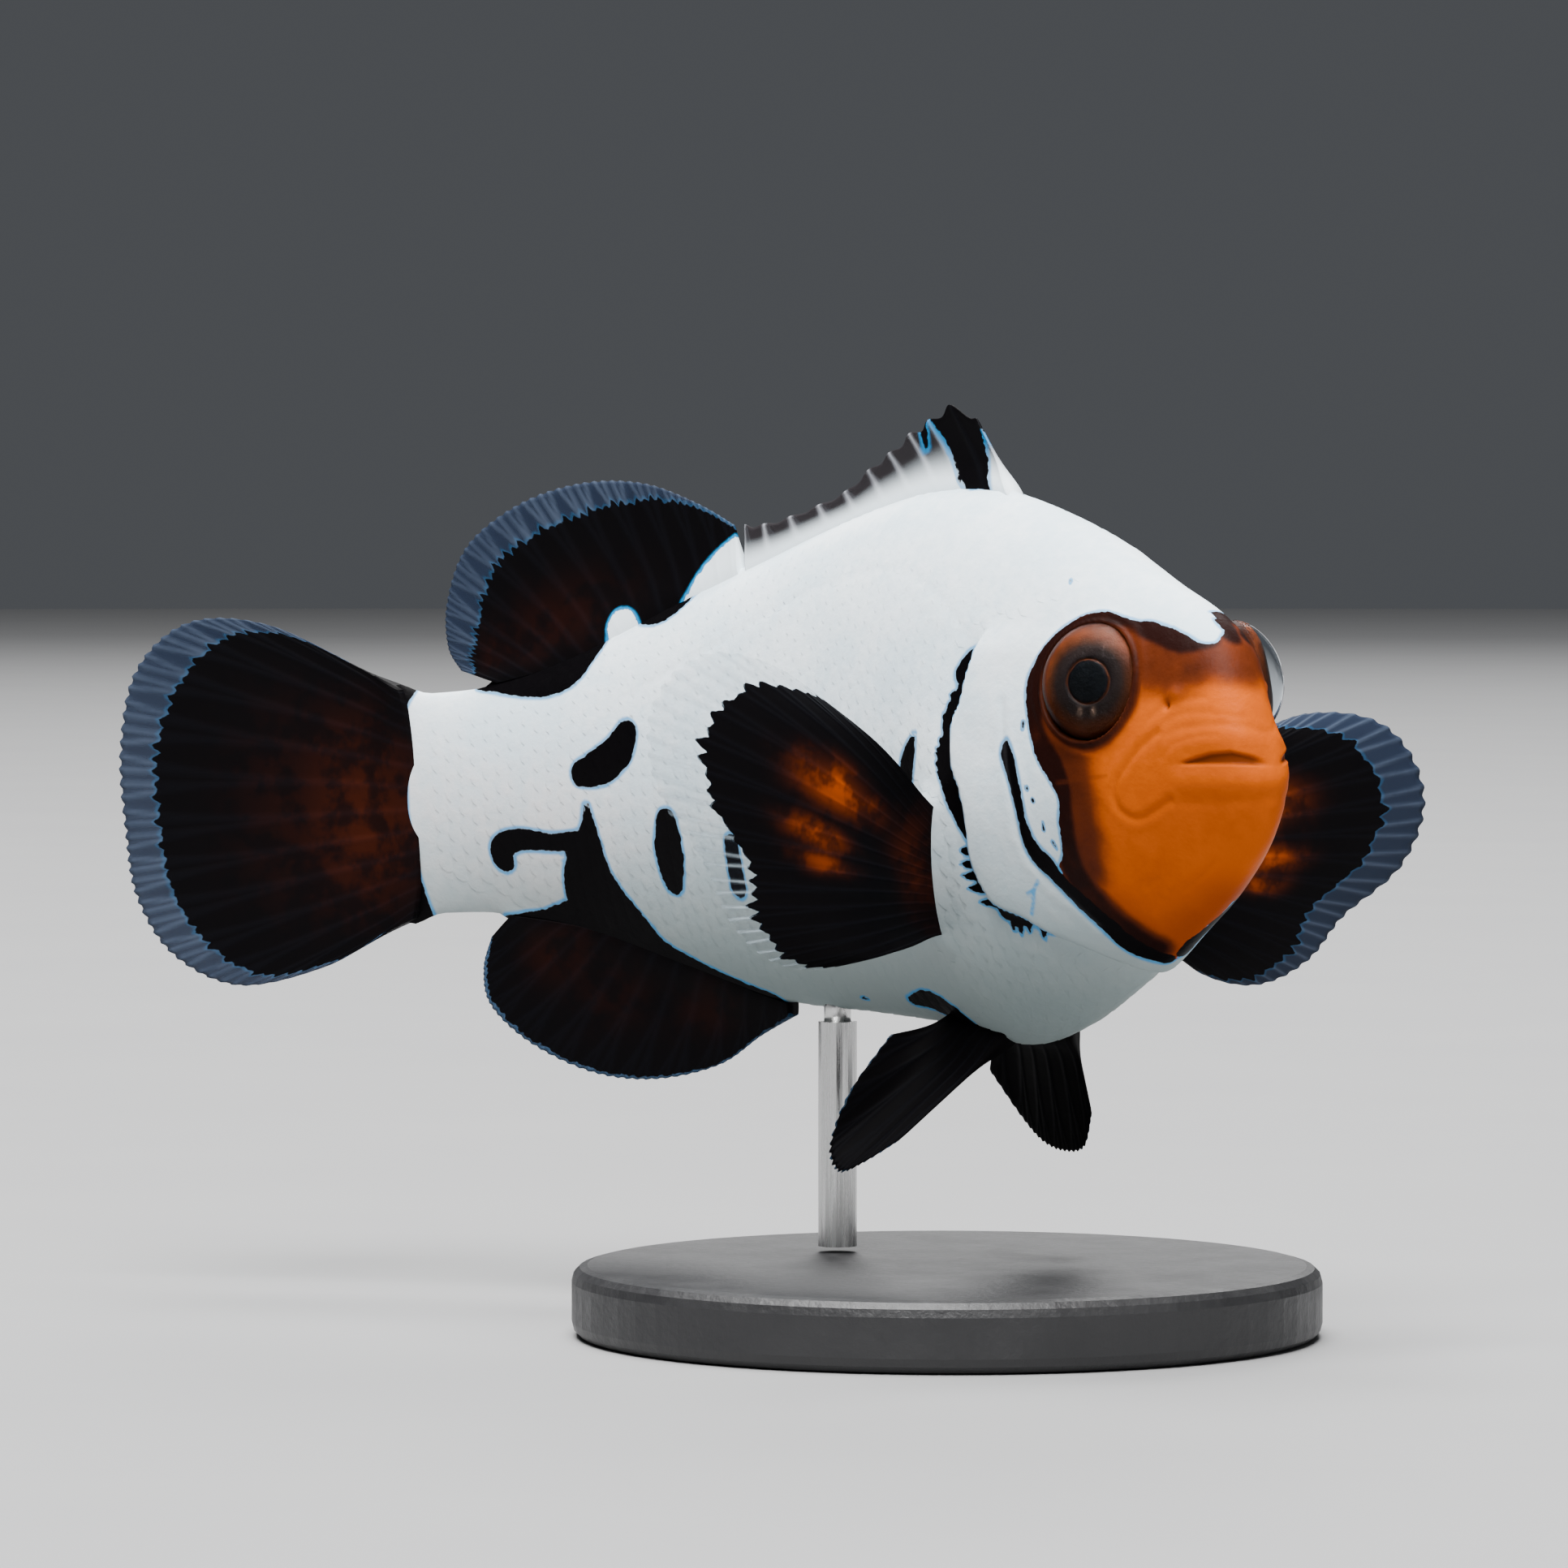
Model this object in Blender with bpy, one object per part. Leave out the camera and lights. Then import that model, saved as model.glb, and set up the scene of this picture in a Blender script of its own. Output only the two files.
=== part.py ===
"""Ocellaris clownfish, white form with an orange face: a life-size swimming model on a display stand.

The fish is laid out straight first, in millimetres: X runs back from just before the snout, Y to the
fish's left, and Z up from the line through the middle of the tail stalk. posed() then bends it along its
backbone, tilts it, and sets it over the stand, in metres.
"""

import math

import bmesh
import bpy
import numpy as np
from mathutils import Matrix, Vector

MM = 0.001
GAP = 0.3  # clearance between neighbouring solids

# The body's sections: station along the backbone, height of the back, of the belly, half width.
BODY = (
    (0.7, 0.0, 0.0, 0.0),
    (1.0, 1.6, -1.4, 1.3),
    (1.8, 4.2, -2.9, 2.1),
    (3.3, 6.6, -4.4, 2.8),
    (6.0, 8.5, -6.5, 3.7),
    (9.5, 10.0, -8.4, 4.6),
    (13.5, 11.9, -10.35, 5.4),
    (18.0, 13.5, -12.35, 6.0),
    (22.5, 14.6, -13.3, 6.3),
    (28.0, 14.6, -12.4, 6.0),
    (34.0, 13.4, -11.8, 5.2),
    (40.0, 11.6, -11.2, 4.2),
    (46.0, 9.6, -9.4, 3.2),
    (52.0, 7.4, -7.4, 2.4),
    (57.0, 6.1, -6.3, 1.8),
    (61.0, 5.8, -6.1, 1.2),
    (63.5, 6.0, -6.2, 0.8),
    (64.2, 0.0, 0.0, 0.0),
)
RINGS = 44
AROUND = 32
KEEL = 0.25  # how much the flanks draw in towards the belly
SNAP = 1e-4  # points closer than this are one point
SLIVER = 1e-3  # edges shorter than this are taken out

# No fish is quite even: the share by which the snout's left side is drawn in, by station and by height.
DRAWN_STATIONS = ((1.8, 0.54), (2.3, 0.48), (3.0, 0.39), (4.0, 0.24), (5.0, 0.11), (6.0, 0.03), (7.0, 0.0))
DRAWN_HEIGHTS = (
    (-4.0, 0.0),
    (-2.5, 0.4),
    (-0.7, 0.48),
    (0.7, 0.78),
    (2.2, 1.0),
    (3.8, 0.97),
    (5.3, 0.7),
    (7.2, 0.0),
)
LEFT_EYE_OUT = 1.45  # how much further the left eye stands out
LEFT_BROW_OUT, LEFT_BROW_SPAN = 0.75, 3.3  # and how much of that the skin round it follows

NECK = 19.6  # station of the cut between head and trunk
STALK = 50.0  # and between trunk and tail stalk

# The lower jaw is a wedge of the head: its top edge runs from the lips to the corner of the mouth.
MOUTH_FRONT, MOUTH_CORNER = (-2.0, 0.9), (4.0, 0.4)
THROAT = (9.0, -12.0)
JAW_REACH = 9.0  # half width of the wedge, past both cheeks

# A gill cover is a plate cut from the cheek: its middle, half length, half height, tilt and thickness.
GILL_MIDDLE = (15.3, -1.6)
GILL_HALF = (3.6, 6.6)
GILL_TILT = 12.0
GILL_LEAN = 12.0
GILL_DEPTH = 1.3
GILL_SIDES = 28
GILL_BLOCK = 6.0  # how deep the block is that cuts the plate

EYE = (10.2, 2.75, 4.7)
EYE_RADIUS = 3.05
EYE_BULGE = 2.65  # half thickness along the eye's own axis
EYE_FORWARD, EYE_UP = 18.0, 8.0
EYE_AROUND, EYE_RINGS = 20, 12

# Fin rays, each as the station of its root and the station and height of its tip.
SPINY_RAYS = (
    (21.2, 23.9, 18.2),
    (22.9, 26.0, 19.0),
    (24.8, 27.8, 18.3),
    (26.8, 29.3, 17.7),
    (28.8, 30.9, 16.8),
    (30.8, 32.5, 16.0),
    (32.9, 34.2, 15.0),
    (35.0, 36.1, 14.4),
    (37.2, 38.1, 13.9),
    (39.3, 39.9, 13.6),
    (41.0, 41.2, 13.6),
)
SOFT_RAYS = (
    (41.5, 41.9, 13.6),
    (43.0, 44.3, 14.9),
    (45.2, 47.6, 16.1),
    (47.6, 51.4, 16.3),
    (49.9, 55.2, 15.4),
    (52.0, 58.4, 13.4),
    (54.0, 59.8, 10.5),
    (55.7, 59.9, 8.1),
    (57.0, 59.2, 6.8),
)
ANAL_RAYS = (
    (40.0, 40.0, -11.9),
    (41.5, 42.2, -12.9),
    (43.6, 45.0, -14.4),
    (46.0, 49.0, -15.1),
    (48.4, 52.8, -14.7),
    (50.8, 56.4, -13.1),
    (53.0, 58.7, -11.0),
    (55.0, 59.0, -9.0),
    (57.0, 58.4, -7.4),
)
# The tail fin's rays, each as the height of its root and the station and height of its tip.
TAIL_RAYS = (
    (5.9, 64.9, 7.1),
    (5.4, 70.2, 9.8),
    (4.4, 74.8, 10.2),
    (3.0, 78.0, 7.8),
    (1.4, 79.2, 3.6),
    (-0.4, 79.2, -0.8),
    (-2.1, 78.8, -4.4),
    (-3.8, 76.9, -7.6),
    (-5.0, 73.2, -9.4),
    (-5.8, 68.2, -8.6),
    (-6.1, 64.9, -7.0),
)
TAIL_ROOT = 64.6

# A pectoral fin is a fan held out from the flank. Its root runs from top to foot; its tips are given by
# their angle from the long axis and their distance from the middle.
PECTORAL_TOP, PECTORAL_FOOT = (21.5, -0.9), (23.5, -7.3)
PECTORAL_MIDDLE = (22.1, -3.9)
PECTORAL_RAYS = (
    (26.0, 11.0),
    (22.0, 13.5),
    (12.0, 17.4),
    (0.0, 18.8),
    (-11.0, 17.4),
    (-23.0, 14.0),
    (-36.0, 12.6),
    (-50.0, 10.6),
    (-64.0, 7.6),
)
PECTORAL_RAISE = {"right": 29.0, "left": 5.0}  # how far each fin is lifted, in degrees
PECTORAL_SWEEP = -4.0  # how far it leans back
PECTORAL_CUP = 1.2  # how far its middle is hollowed

# Pelvic rays, as on the left: station, side and height of each root on the skin, then of the tips.
PELVIC_ROOTS = {
    "left": (
        (21.2, 1.7, -12.6),
        (22.2, 1.7, -12.6),
        (23.4, 1.6, -12.5),
        (24.6, 1.6, -12.35),
        (25.8, 1.6, -12.1),
        (27.0, 1.5, -11.95),
    ),
    "right": (
        (23.0, 1.1, -12.85),
        (23.8, 1.2, -12.75),
        (24.6, 1.3, -12.6),
        (25.4, 1.35, -12.4),
        (26.2, 1.4, -12.2),
        (27.0, 1.45, -12.0),
    ),
}
PELVIC_TIPS = {
    "left": (
        (25.0, 5.6, -17.3),
        (27.5, 7.0, -19.2),
        (29.5, 7.3, -19.5),
        (30.7, 6.9, -19.0),
        (31.0, 5.8, -17.6),
        (30.6, 3.6, -15.0),
    ),
    "right": (
        (26.1, 6.1, -17.6),
        (27.4, 7.4, -18.6),
        (28.7, 8.0, -19.0),
        (29.5, 7.8, -17.7),
        (28.9, 6.8, -15.1),
        (28.1, 4.6, -12.4),
    ),
}
PELVIC_CARRIER = 24.6  # the fins keep the heading of this station
PELVIC_CLEAR = 0.8  # from the skin to the roots

FIN_ROOT_THICK, FIN_EDGE_THICK = 1.0, 0.55

# Columns and rows of the fins' sheets.
MEDIAN_GRID, TAIL_GRID = (22, 3), (24, 4)
PECTORAL_GRID, PELVIC_GRID = (20, 6), (12, 4)

HEAD_TURN = -17.0  # heading of the head, degrees to the left of +X
TRUNK_BEND = 32.0  # how far the tail stalk's heading differs from the head's
BEND_FROM, BEND_TO = 14.0, 62.0
TAIL_SWEEP = 8.0  # how far the tail fin swings on past the stalk
SWEEP_FROM, SWEEP_TO = 56.0, 72.0
STEP = 0.5  # length of a step along the backbone

TILT = 3.5  # degrees, about a level axis at TILT_AXIS to +X: it lifts the head
TILT_AXIS = -50.0
AXIS_HEIGHT = 28.0  # of the backbone over the table, at the balance station

BALANCE_STATION = 28.0  # the middle of the disc is under this station
ROD_STATION = 37.0
ROD_RADIUS = 1.0
BASE_RADIUS, BASE_THICK, BASE_BEVEL = 19.0, 3.6, 0.8
BASE_SIDES, ROD_SIDES, BEVEL_STEPS = 72, 20, 3


def smooth_step(value, low, high):
    share = min(max((value - low) / (high - low), 0.0), 1.0)
    return share * share * (3 - 2 * share)


def through(rows, at):
    """A smooth curve through rows of numbers, read at a row number between 0 and the last."""
    index = min(max(int(at), 0), len(rows) - 2)
    before = rows[max(index - 1, 0)]
    after = rows[min(index + 2, len(rows) - 1)]
    f = at - index
    return [
        0.5 * (2 * b + (c - a) * f + (2 * a - 5 * b + 4 * c - d) * f * f + (3 * b - a - 3 * c + d) * f**3)
        for a, b, c, d in zip(before, rows[index], rows[index + 1], after)
    ]


def mirrored_ends():
    """BODY with a row before the snout and after the tail, so that both ends close in a smooth round."""
    s, back, belly, width = BODY[1]
    ahead = (s, belly, back, -width)
    s, back, belly, width = BODY[-2]
    behind = (s, belly, back, -width)
    return (ahead, *BODY, behind)


CLOSED_BODY = mirrored_ends()


def section(row):
    """Station, back, belly and half width at a row number of BODY."""
    return through(CLOSED_BODY, row + 1)


def row_of(station):
    low, high = 0.0, len(BODY) - 1.0
    for _ in range(30):
        middle = (low + high) / 2
        if section(middle)[0] < station:
            low = middle
        else:
            high = middle
    return low


def skin_point(row, angle):
    """A point of the skin: angle 0 is the ridge of the back and 90 degrees the left flank."""
    s, back, belly, width = section(row)
    keel = 1.0 - KEEL * max(0.0, -math.cos(angle)) ** 2
    height = (back + belly) / 2 + (back - belly) / 2 * math.cos(angle)
    return s, width * math.sin(angle) * keel, height


def uneven(s, y, z):
    """A point of the skin with the small differences between the left flank and the right."""
    if y <= 0.0:
        return s, y, z
    drawn = np.interp(s, *zip(*DRAWN_STATIONS)) * np.interp(z, *zip(*DRAWN_HEIGHTS))
    from_eye = math.hypot(s - EYE[0], z - EYE[2]) / LEFT_BROW_SPAN
    brow = LEFT_BROW_OUT * math.exp(-(from_eye**2)) * min(1.0, y / EYE[1])
    return s, y * (1.0 - drawn) + brow, z


def heading(station):
    """The backbone's direction there, in radians to the left of +X."""
    bend = TRUNK_BEND * smooth_step(station, BEND_FROM, BEND_TO)
    sweep = TAIL_SWEEP * smooth_step(station, SWEEP_FROM, SWEEP_TO)
    return math.radians(HEAD_TURN + bend + sweep)


def backbone(station):
    """The backbone's point at a station, added up from the snout in short straight steps."""
    count = max(1, round(abs(station) / STEP))
    step = station / count
    turns = [heading(step * (k + 0.5)) for k in range(count)]
    return Vector((-sum(map(math.cos, turns)), -sum(map(math.sin, turns)), 0.0)) * step


def tilted(point):
    return Matrix.Rotation(math.radians(TILT), 3, tilt_axis()) @ point


def tilt_axis():
    turn = math.radians(TILT_AXIS)
    return Vector((math.cos(turn), math.sin(turn), 0.0))


def unset(s, y, z, carrier):
    """A point of the straight fish once bent and tilted, carried by the backbone at the carrier station."""
    turn = heading(carrier)
    ahead = Vector((math.cos(turn), math.sin(turn), 0.0))
    left = Vector((-ahead.y, ahead.x, 0.0))
    point = backbone(carrier) - backbone(BALANCE_STATION) + ahead * (carrier - s) + left * y
    return tilted(point + Vector((0.0, 0.0, z)))


def posed(s, y, z, carrier=None):
    """Where a point of the straight fish is in the finished model, in metres."""
    point = unset(s, y, z, s if carrier is None else carrier)
    return (point + Vector((0.0, 0.0, AXIS_HEIGHT))) * MM


def clear_scene():
    for thing in list(bpy.data.objects):
        bpy.data.objects.remove(thing)


def finish(name, colour, roughness, metallic=0.0):
    made = bpy.data.materials.new(name)
    made.use_nodes = True
    shader = made.node_tree.nodes["Principled BSDF"]
    shader.inputs["Base Color"].default_value = (*colour, 1.0)
    shader.inputs["Roughness"].default_value = roughness
    shader.inputs["Metallic"].default_value = metallic
    return made


def add(name, bm, look=None):
    """A new object from a bmesh, its faces turned outwards."""
    bmesh.ops.recalc_face_normals(bm, faces=bm.faces)
    if bm.calc_volume(signed=True) < 0.0:
        bmesh.ops.reverse_faces(bm, faces=bm.faces)
    mesh = bpy.data.meshes.new(name)
    bm.to_mesh(mesh)
    bm.free()
    if look:
        mesh.materials.append(look)
    thing = bpy.data.objects.new(name, mesh)
    bpy.context.scene.collection.objects.link(thing)
    return thing


def bend_into_pose(bm, carrier=None):
    for vert in bm.verts:
        vert.co = posed(*vert.co, carrier)


def straight_body():
    """The whole straight body: a ball whose rings become the body's sections."""
    bm = bmesh.new()
    bmesh.ops.create_uvsphere(bm, u_segments=AROUND, v_segments=RINGS, radius=1.0)
    for vert in bm.verts:
        row = math.acos(max(-1.0, min(1.0, vert.co.z))) / math.pi * (len(BODY) - 1)
        vert.co = uneven(*skin_point(row, math.atan2(vert.co.y, vert.co.x)))
    return bm


def slice_of_body(start, end):
    """The straight body between two stations, its cuts closed."""
    bm = straight_body()
    for station, direction in ((start, -1.0), (end, 1.0)):
        if station is None:
            continue
        everything = bm.verts[:] + bm.edges[:] + bm.faces[:]
        cut = bmesh.ops.bisect_plane(
            bm,
            geom=everything,
            dist=SNAP,
            plane_co=(station, 0.0, 0.0),
            plane_no=(direction, 0.0, 0.0),
            clear_outer=True,
        )
        rim = [part for part in cut["geom_cut"] if isinstance(part, bmesh.types.BMEdge)]
        bmesh.ops.edgeloop_fill(bm, edges=rim)
    return bm


def guide(name, bm):
    """A cutter, which isn't part of the model."""
    thing = add(name, bm)
    thing.hide_render = True
    thing.display_type = "WIRE"
    return thing


def prism(outline, low, high):
    """A closed outline in the plane of X and Z, pulled along Y from low to high."""
    bm = bmesh.new()
    corners = [bm.verts.new((x, low, z)) for x, z in outline]
    face = bm.faces.new(corners)
    pulled = bmesh.ops.extrude_face_region(bm, geom=[face])
    moved = [part for part in pulled["geom"] if isinstance(part, bmesh.types.BMVert)]
    bmesh.ops.translate(bm, verts=moved, vec=(0.0, high - low, 0.0))
    return bm


def jaw_wedge(grow):
    """The wedge that holds the lower jaw, made larger all round by grow."""
    front, corner = Vector(MOUTH_FRONT), Vector(MOUTH_CORNER)
    up = Vector((0.0, grow))
    back = Vector((grow, 0.0))
    outline = (front + up, corner + up + back, Vector(THROAT) + back, Vector((MOUTH_FRONT[0], THROAT[1])))
    return prism(outline, -JAW_REACH, JAW_REACH)


def gill_block(side, grow):
    """The block that a gill cover is cut out with: an oval column leaning with the cheek."""
    bm = bmesh.new()
    depth = GILL_BLOCK + 2 * grow
    bmesh.ops.create_cone(bm, cap_ends=True, segments=GILL_SIDES, radius1=1.0, radius2=1.0, depth=depth)
    bmesh.ops.scale(bm, verts=bm.verts, vec=(GILL_HALF[0] + grow, GILL_HALF[1] + grow, 1.0))
    bmesh.ops.rotate(bm, verts=bm.verts, matrix=Matrix.Rotation(math.radians(90.0), 3, "X"))
    bmesh.ops.rotate(bm, verts=bm.verts, matrix=Matrix.Rotation(math.radians(GILL_TILT), 3, "Y"))
    bmesh.ops.rotate(bm, verts=bm.verts, matrix=Matrix.Rotation(math.radians(-GILL_LEAN), 3, "X"))
    row = row_of(GILL_MIDDLE[0])
    flank = section(row)[3]
    middle = (GILL_MIDDLE[0], flank - GILL_DEPTH + GILL_BLOCK / 2, GILL_MIDDLE[1])
    bmesh.ops.translate(bm, verts=bm.verts, vec=middle)
    if side < 0:
        bmesh.ops.scale(bm, verts=bm.verts, vec=(1.0, -1.0, 1.0))
    return bm


def eye_ball(side, grow):
    """An eye as a flattened ball on its own axis, made larger all round by grow."""
    bm = bmesh.new()
    bmesh.ops.create_uvsphere(bm, u_segments=EYE_AROUND, v_segments=EYE_RINGS, radius=1.0)
    radius, bulge = EYE_RADIUS + grow, EYE_BULGE + grow
    bmesh.ops.scale(bm, verts=bm.verts, vec=(radius, radius, bulge))
    axis = Vector((-math.sin(math.radians(EYE_FORWARD)), 1.0, math.sin(math.radians(EYE_UP))))
    bmesh.ops.rotate(bm, verts=bm.verts, matrix=axis.to_track_quat("Z", "Y").to_matrix())
    bmesh.ops.translate(bm, verts=bm.verts, vec=EYE)
    if side > 0:
        bmesh.ops.translate(bm, verts=bm.verts, vec=(0.0, LEFT_EYE_OUT, 0.0))
    else:
        bmesh.ops.scale(bm, verts=bm.verts, vec=(1.0, -1.0, 1.0))
    return bm


def carved(name, bm, look, cuts):
    """A straight solid after its Booleans, bent into the pose. cuts holds pairs of operation and bmesh."""
    block = add(name + "_straight", bm)
    helpers = [block]
    for number, (operation, cutter) in enumerate(cuts):
        helper = guide(f"{name}_cutter_{number}", cutter)
        helpers.append(helper)
        modifier = block.modifiers.new(operation, "BOOLEAN")
        modifier.operation = operation
        modifier.solver = "EXACT"
        modifier.object = helper
    depsgraph = bpy.context.evaluated_depsgraph_get()
    result = bmesh.new()
    result.from_object(block, depsgraph)
    for helper in helpers:
        bpy.data.objects.remove(helper)
    bmesh.ops.triangulate(result, faces=result.faces)
    bmesh.ops.dissolve_degenerate(result, dist=SLIVER, edges=result.edges)
    bend_into_pose(result)
    return add(name, result, look)


def fin_sheet(rays, columns, rows, point):
    """A closed thin plate over a fan of rays; point(ray, along) gives a place on its middle."""
    bm = bmesh.new()
    bmesh.ops.create_grid(bm, x_segments=columns, y_segments=rows, size=0.5)
    sheet = [(vert, vert.co.y + 0.5) for vert in bm.verts]
    for vert, along in sheet:
        vert.co = point(through(rays, (vert.co.x + 0.5) * (len(rays) - 1)), along)
    bm.normal_update()
    half = {vert: vert.normal * fin_half(along) for vert, along in sheet}
    twin = bmesh.ops.duplicate(bm, geom=bm.verts[:] + bm.edges[:] + bm.faces[:])["vert_map"]
    for vert, step in half.items():
        twin[vert].co += step
        vert.co -= step
    rims = [edge for edge in bm.edges if edge.is_boundary]
    bmesh.ops.bridge_loops(bm, edges=rims)
    return bm


def fin_half(along):
    return (FIN_ROOT_THICK + (FIN_EDGE_THICK - FIN_ROOT_THICK) * along) / 2


def median_fin(name, look, rays, edge):
    """A fin on the back or the belly; edge is 1 for the back's ridge and 2 for the belly's."""
    clearance = GAP * (1 if edge == 1 else -1)

    def point(ray, along):
        root_s, tip_s, tip_z = ray
        root = Vector((root_s, 0.0, section(row_of(root_s))[edge] + clearance))
        return root.lerp(Vector((tip_s, 0.0, tip_z)), along)

    bm = fin_sheet(rays, *MEDIAN_GRID, point)
    bend_into_pose(bm)
    return add(name, bm, look)


def tail_fin(look):
    def point(ray, along):
        root_z, tip_s, tip_z = ray
        return Vector((TAIL_ROOT, 0.0, root_z)).lerp(Vector((tip_s, 0.0, tip_z)), along)

    bm = fin_sheet(TAIL_RAYS, *TAIL_GRID, point)
    bend_into_pose(bm)
    return add("fin_caudal", bm, look)


def flank_at(station, height):
    """The skin's half width at a station and height."""
    s, back, belly, width = section(row_of(station))
    cosine = (height - (back + belly) / 2) / ((back - belly) / 2)
    angle = math.acos(max(-1.0, min(1.0, cosine)))
    return skin_point(row_of(station), angle)[1]


def off_flank(station, height):
    """A point just off the left flank."""
    return Vector((station, flank_at(station, height) + 2 * GAP, height))


def pectoral_root(share):
    """A point on the left pectoral's root, from its top at 0 to its foot at 1."""
    station = PECTORAL_TOP[0] + (PECTORAL_FOOT[0] - PECTORAL_TOP[0]) * share
    height = PECTORAL_TOP[1] + (PECTORAL_FOOT[1] - PECTORAL_TOP[1]) * share
    return off_flank(station, height)


def pectoral_fin(side_name, look):
    """A paddle held out from the flank, cupped a little forwards."""
    side = 1.0 if side_name == "left" else -1.0
    raise_angle = PECTORAL_RAISE[side_name]
    carrier = PECTORAL_MIDDLE[0]
    rows_of_rays = [(k, *ray) for k, ray in enumerate(PECTORAL_RAYS)]
    back = math.radians(PECTORAL_SWEEP)

    def point(ray, along):
        number, angle, length = ray
        share = number / (len(PECTORAL_RAYS) - 1)
        lift = math.radians(raise_angle + angle)
        out = Vector((math.sin(back) * math.cos(lift), math.cos(back) * math.cos(lift), math.sin(lift)))
        cup = Vector((-PECTORAL_CUP * math.sin(math.pi * along), 0.0, 0.0))
        place = pectoral_root(share).lerp(off_flank(*PECTORAL_MIDDLE) + out * length, along) + cup
        place.y *= side
        return place

    bm = fin_sheet(rows_of_rays, *PECTORAL_GRID, point)
    bend_into_pose(bm, carrier)
    return add("fin_pectoral_" + side_name, bm, look)


def pelvic_fin(side_name, look):
    """A fan held out and back under the belly."""
    side = 1.0 if side_name == "left" else -1.0
    rays = [(*root, *tip) for root, tip in zip(PELVIC_ROOTS[side_name], PELVIC_TIPS[side_name])]

    def point(ray, along):
        root = Vector(ray[:3]) - Vector((0.0, 0.0, PELVIC_CLEAR))
        place = root.lerp(Vector(ray[3:]), along)
        place.y *= side
        return place

    bm = fin_sheet(rays, *PELVIC_GRID, point)
    bend_into_pose(bm, PELVIC_CARRIER)
    return add("fin_pelvic_" + side_name, bm, look)


def stand_disc(look):
    bm = bmesh.new()
    size = {"radius1": BASE_RADIUS, "radius2": BASE_RADIUS, "depth": BASE_THICK}
    bmesh.ops.create_cone(bm, cap_ends=True, segments=BASE_SIDES, **size)
    bmesh.ops.translate(bm, verts=bm.verts, vec=(0.0, 0.0, BASE_THICK / 2))
    rims = [edge for edge in bm.edges if abs(edge.verts[0].co.z - edge.verts[1].co.z) < SNAP]
    bmesh.ops.bevel(
        bm, geom=rims, offset=BASE_BEVEL, segments=BEVEL_STEPS, profile=0.5, affect="EDGES", material=-1
    )
    bmesh.ops.scale(bm, verts=bm.verts, vec=(MM, MM, MM))
    return add("stand_base", bm, look)


def stand_rod(look):
    """A round rod from the disc up to just under the belly."""
    belly = posed(ROD_STATION, 0.0, section(row_of(ROD_STATION))[2]) / MM
    top = belly.z - 2 * GAP
    foot = BASE_THICK + GAP
    bm = bmesh.new()
    size = {"radius1": ROD_RADIUS, "radius2": ROD_RADIUS, "depth": top - foot}
    bmesh.ops.create_cone(bm, cap_ends=True, segments=ROD_SIDES, **size)
    bmesh.ops.translate(bm, verts=bm.verts, vec=(belly.x, belly.y, (top + foot) / 2))
    bmesh.ops.scale(bm, verts=bm.verts, vec=(MM, MM, MM))
    return add("stand_rod", bm, look)


def main():
    clear_scene()
    white = finish("white_skin", (0.72, 0.8, 0.84), 0.4)
    orange = finish("orange_skin", (0.8, 0.33, 0.04), 0.4)
    black = finish("fin_membrane", (0.02, 0.025, 0.035), 0.45)
    eye_look = finish("eye", (0.1, 0.06, 0.03), 0.1)
    steel = finish("stand_metal", (0.6, 0.6, 0.6), 0.3, metallic=1.0)
    lacquer = finish("stand_wood", (0.05, 0.045, 0.04), 0.4)

    sides = (("left", 1.0), ("right", -1.0))
    head_cuts = [("DIFFERENCE", jaw_wedge(GAP))]
    for _, side in sides:
        head_cuts.append(("DIFFERENCE", gill_block(side, GAP)))
        head_cuts.append(("DIFFERENCE", eye_ball(side, GAP)))
    half_gap = GAP / 2
    carved("head", slice_of_body(None, NECK - half_gap), orange, head_cuts)
    carved("trunk", slice_of_body(NECK + half_gap, STALK - half_gap), white, [])
    carved("tail_stalk", slice_of_body(STALK + half_gap, None), white, [])
    carved("lower_jaw", straight_body(), orange, [("INTERSECT", jaw_wedge(0.0))])
    for name, side in sides:
        head_front = slice_of_body(None, NECK - half_gap)
        carved("gill_cover_" + name, head_front, white, [("INTERSECT", gill_block(side, 0.0))])
        carved("eye_" + name, eye_ball(side, 0.0), eye_look, [])
        pectoral_fin(name, black)
        pelvic_fin(name, black)
    median_fin("fin_dorsal_spiny", black, SPINY_RAYS, 1)
    median_fin("fin_dorsal_soft", black, SOFT_RAYS, 1)
    median_fin("fin_anal", black, ANAL_RAYS, 2)
    tail_fin(black)
    stand_disc(lacquer)
    stand_rod(steel)


main()
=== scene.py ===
"""Looks of the life-size clownfish model: one skin, its scales, the fins with their rays, eyes and stand.

As in the solids, the fish is laid out straight first, in millimetres: X runs back from just before the
snout, Y to the fish's left, and Z up from the middle of the tail stalk. posed() bends it into its pose.
"""

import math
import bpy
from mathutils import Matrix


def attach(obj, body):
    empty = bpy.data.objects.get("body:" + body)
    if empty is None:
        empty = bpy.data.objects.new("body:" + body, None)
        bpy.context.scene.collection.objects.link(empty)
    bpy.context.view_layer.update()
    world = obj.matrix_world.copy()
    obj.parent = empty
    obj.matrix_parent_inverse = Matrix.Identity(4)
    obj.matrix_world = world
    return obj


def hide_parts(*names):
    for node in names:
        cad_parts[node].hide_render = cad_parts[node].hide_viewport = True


bl_info = {
    "name": "Clownfish Model",
    "version": (1, 0, 0),
    "blender": (4, 5, 0),
    "location": "View3D > Sidebar > Clownfish",
    "description": "Builds the visible surfaces of a life-size clownfish on a display stand",
    "category": "Object",
}

from functools import reduce
from typing import NamedTuple

import bmesh
import bpy
import numpy as np
from mathutils import Matrix, Vector

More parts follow.
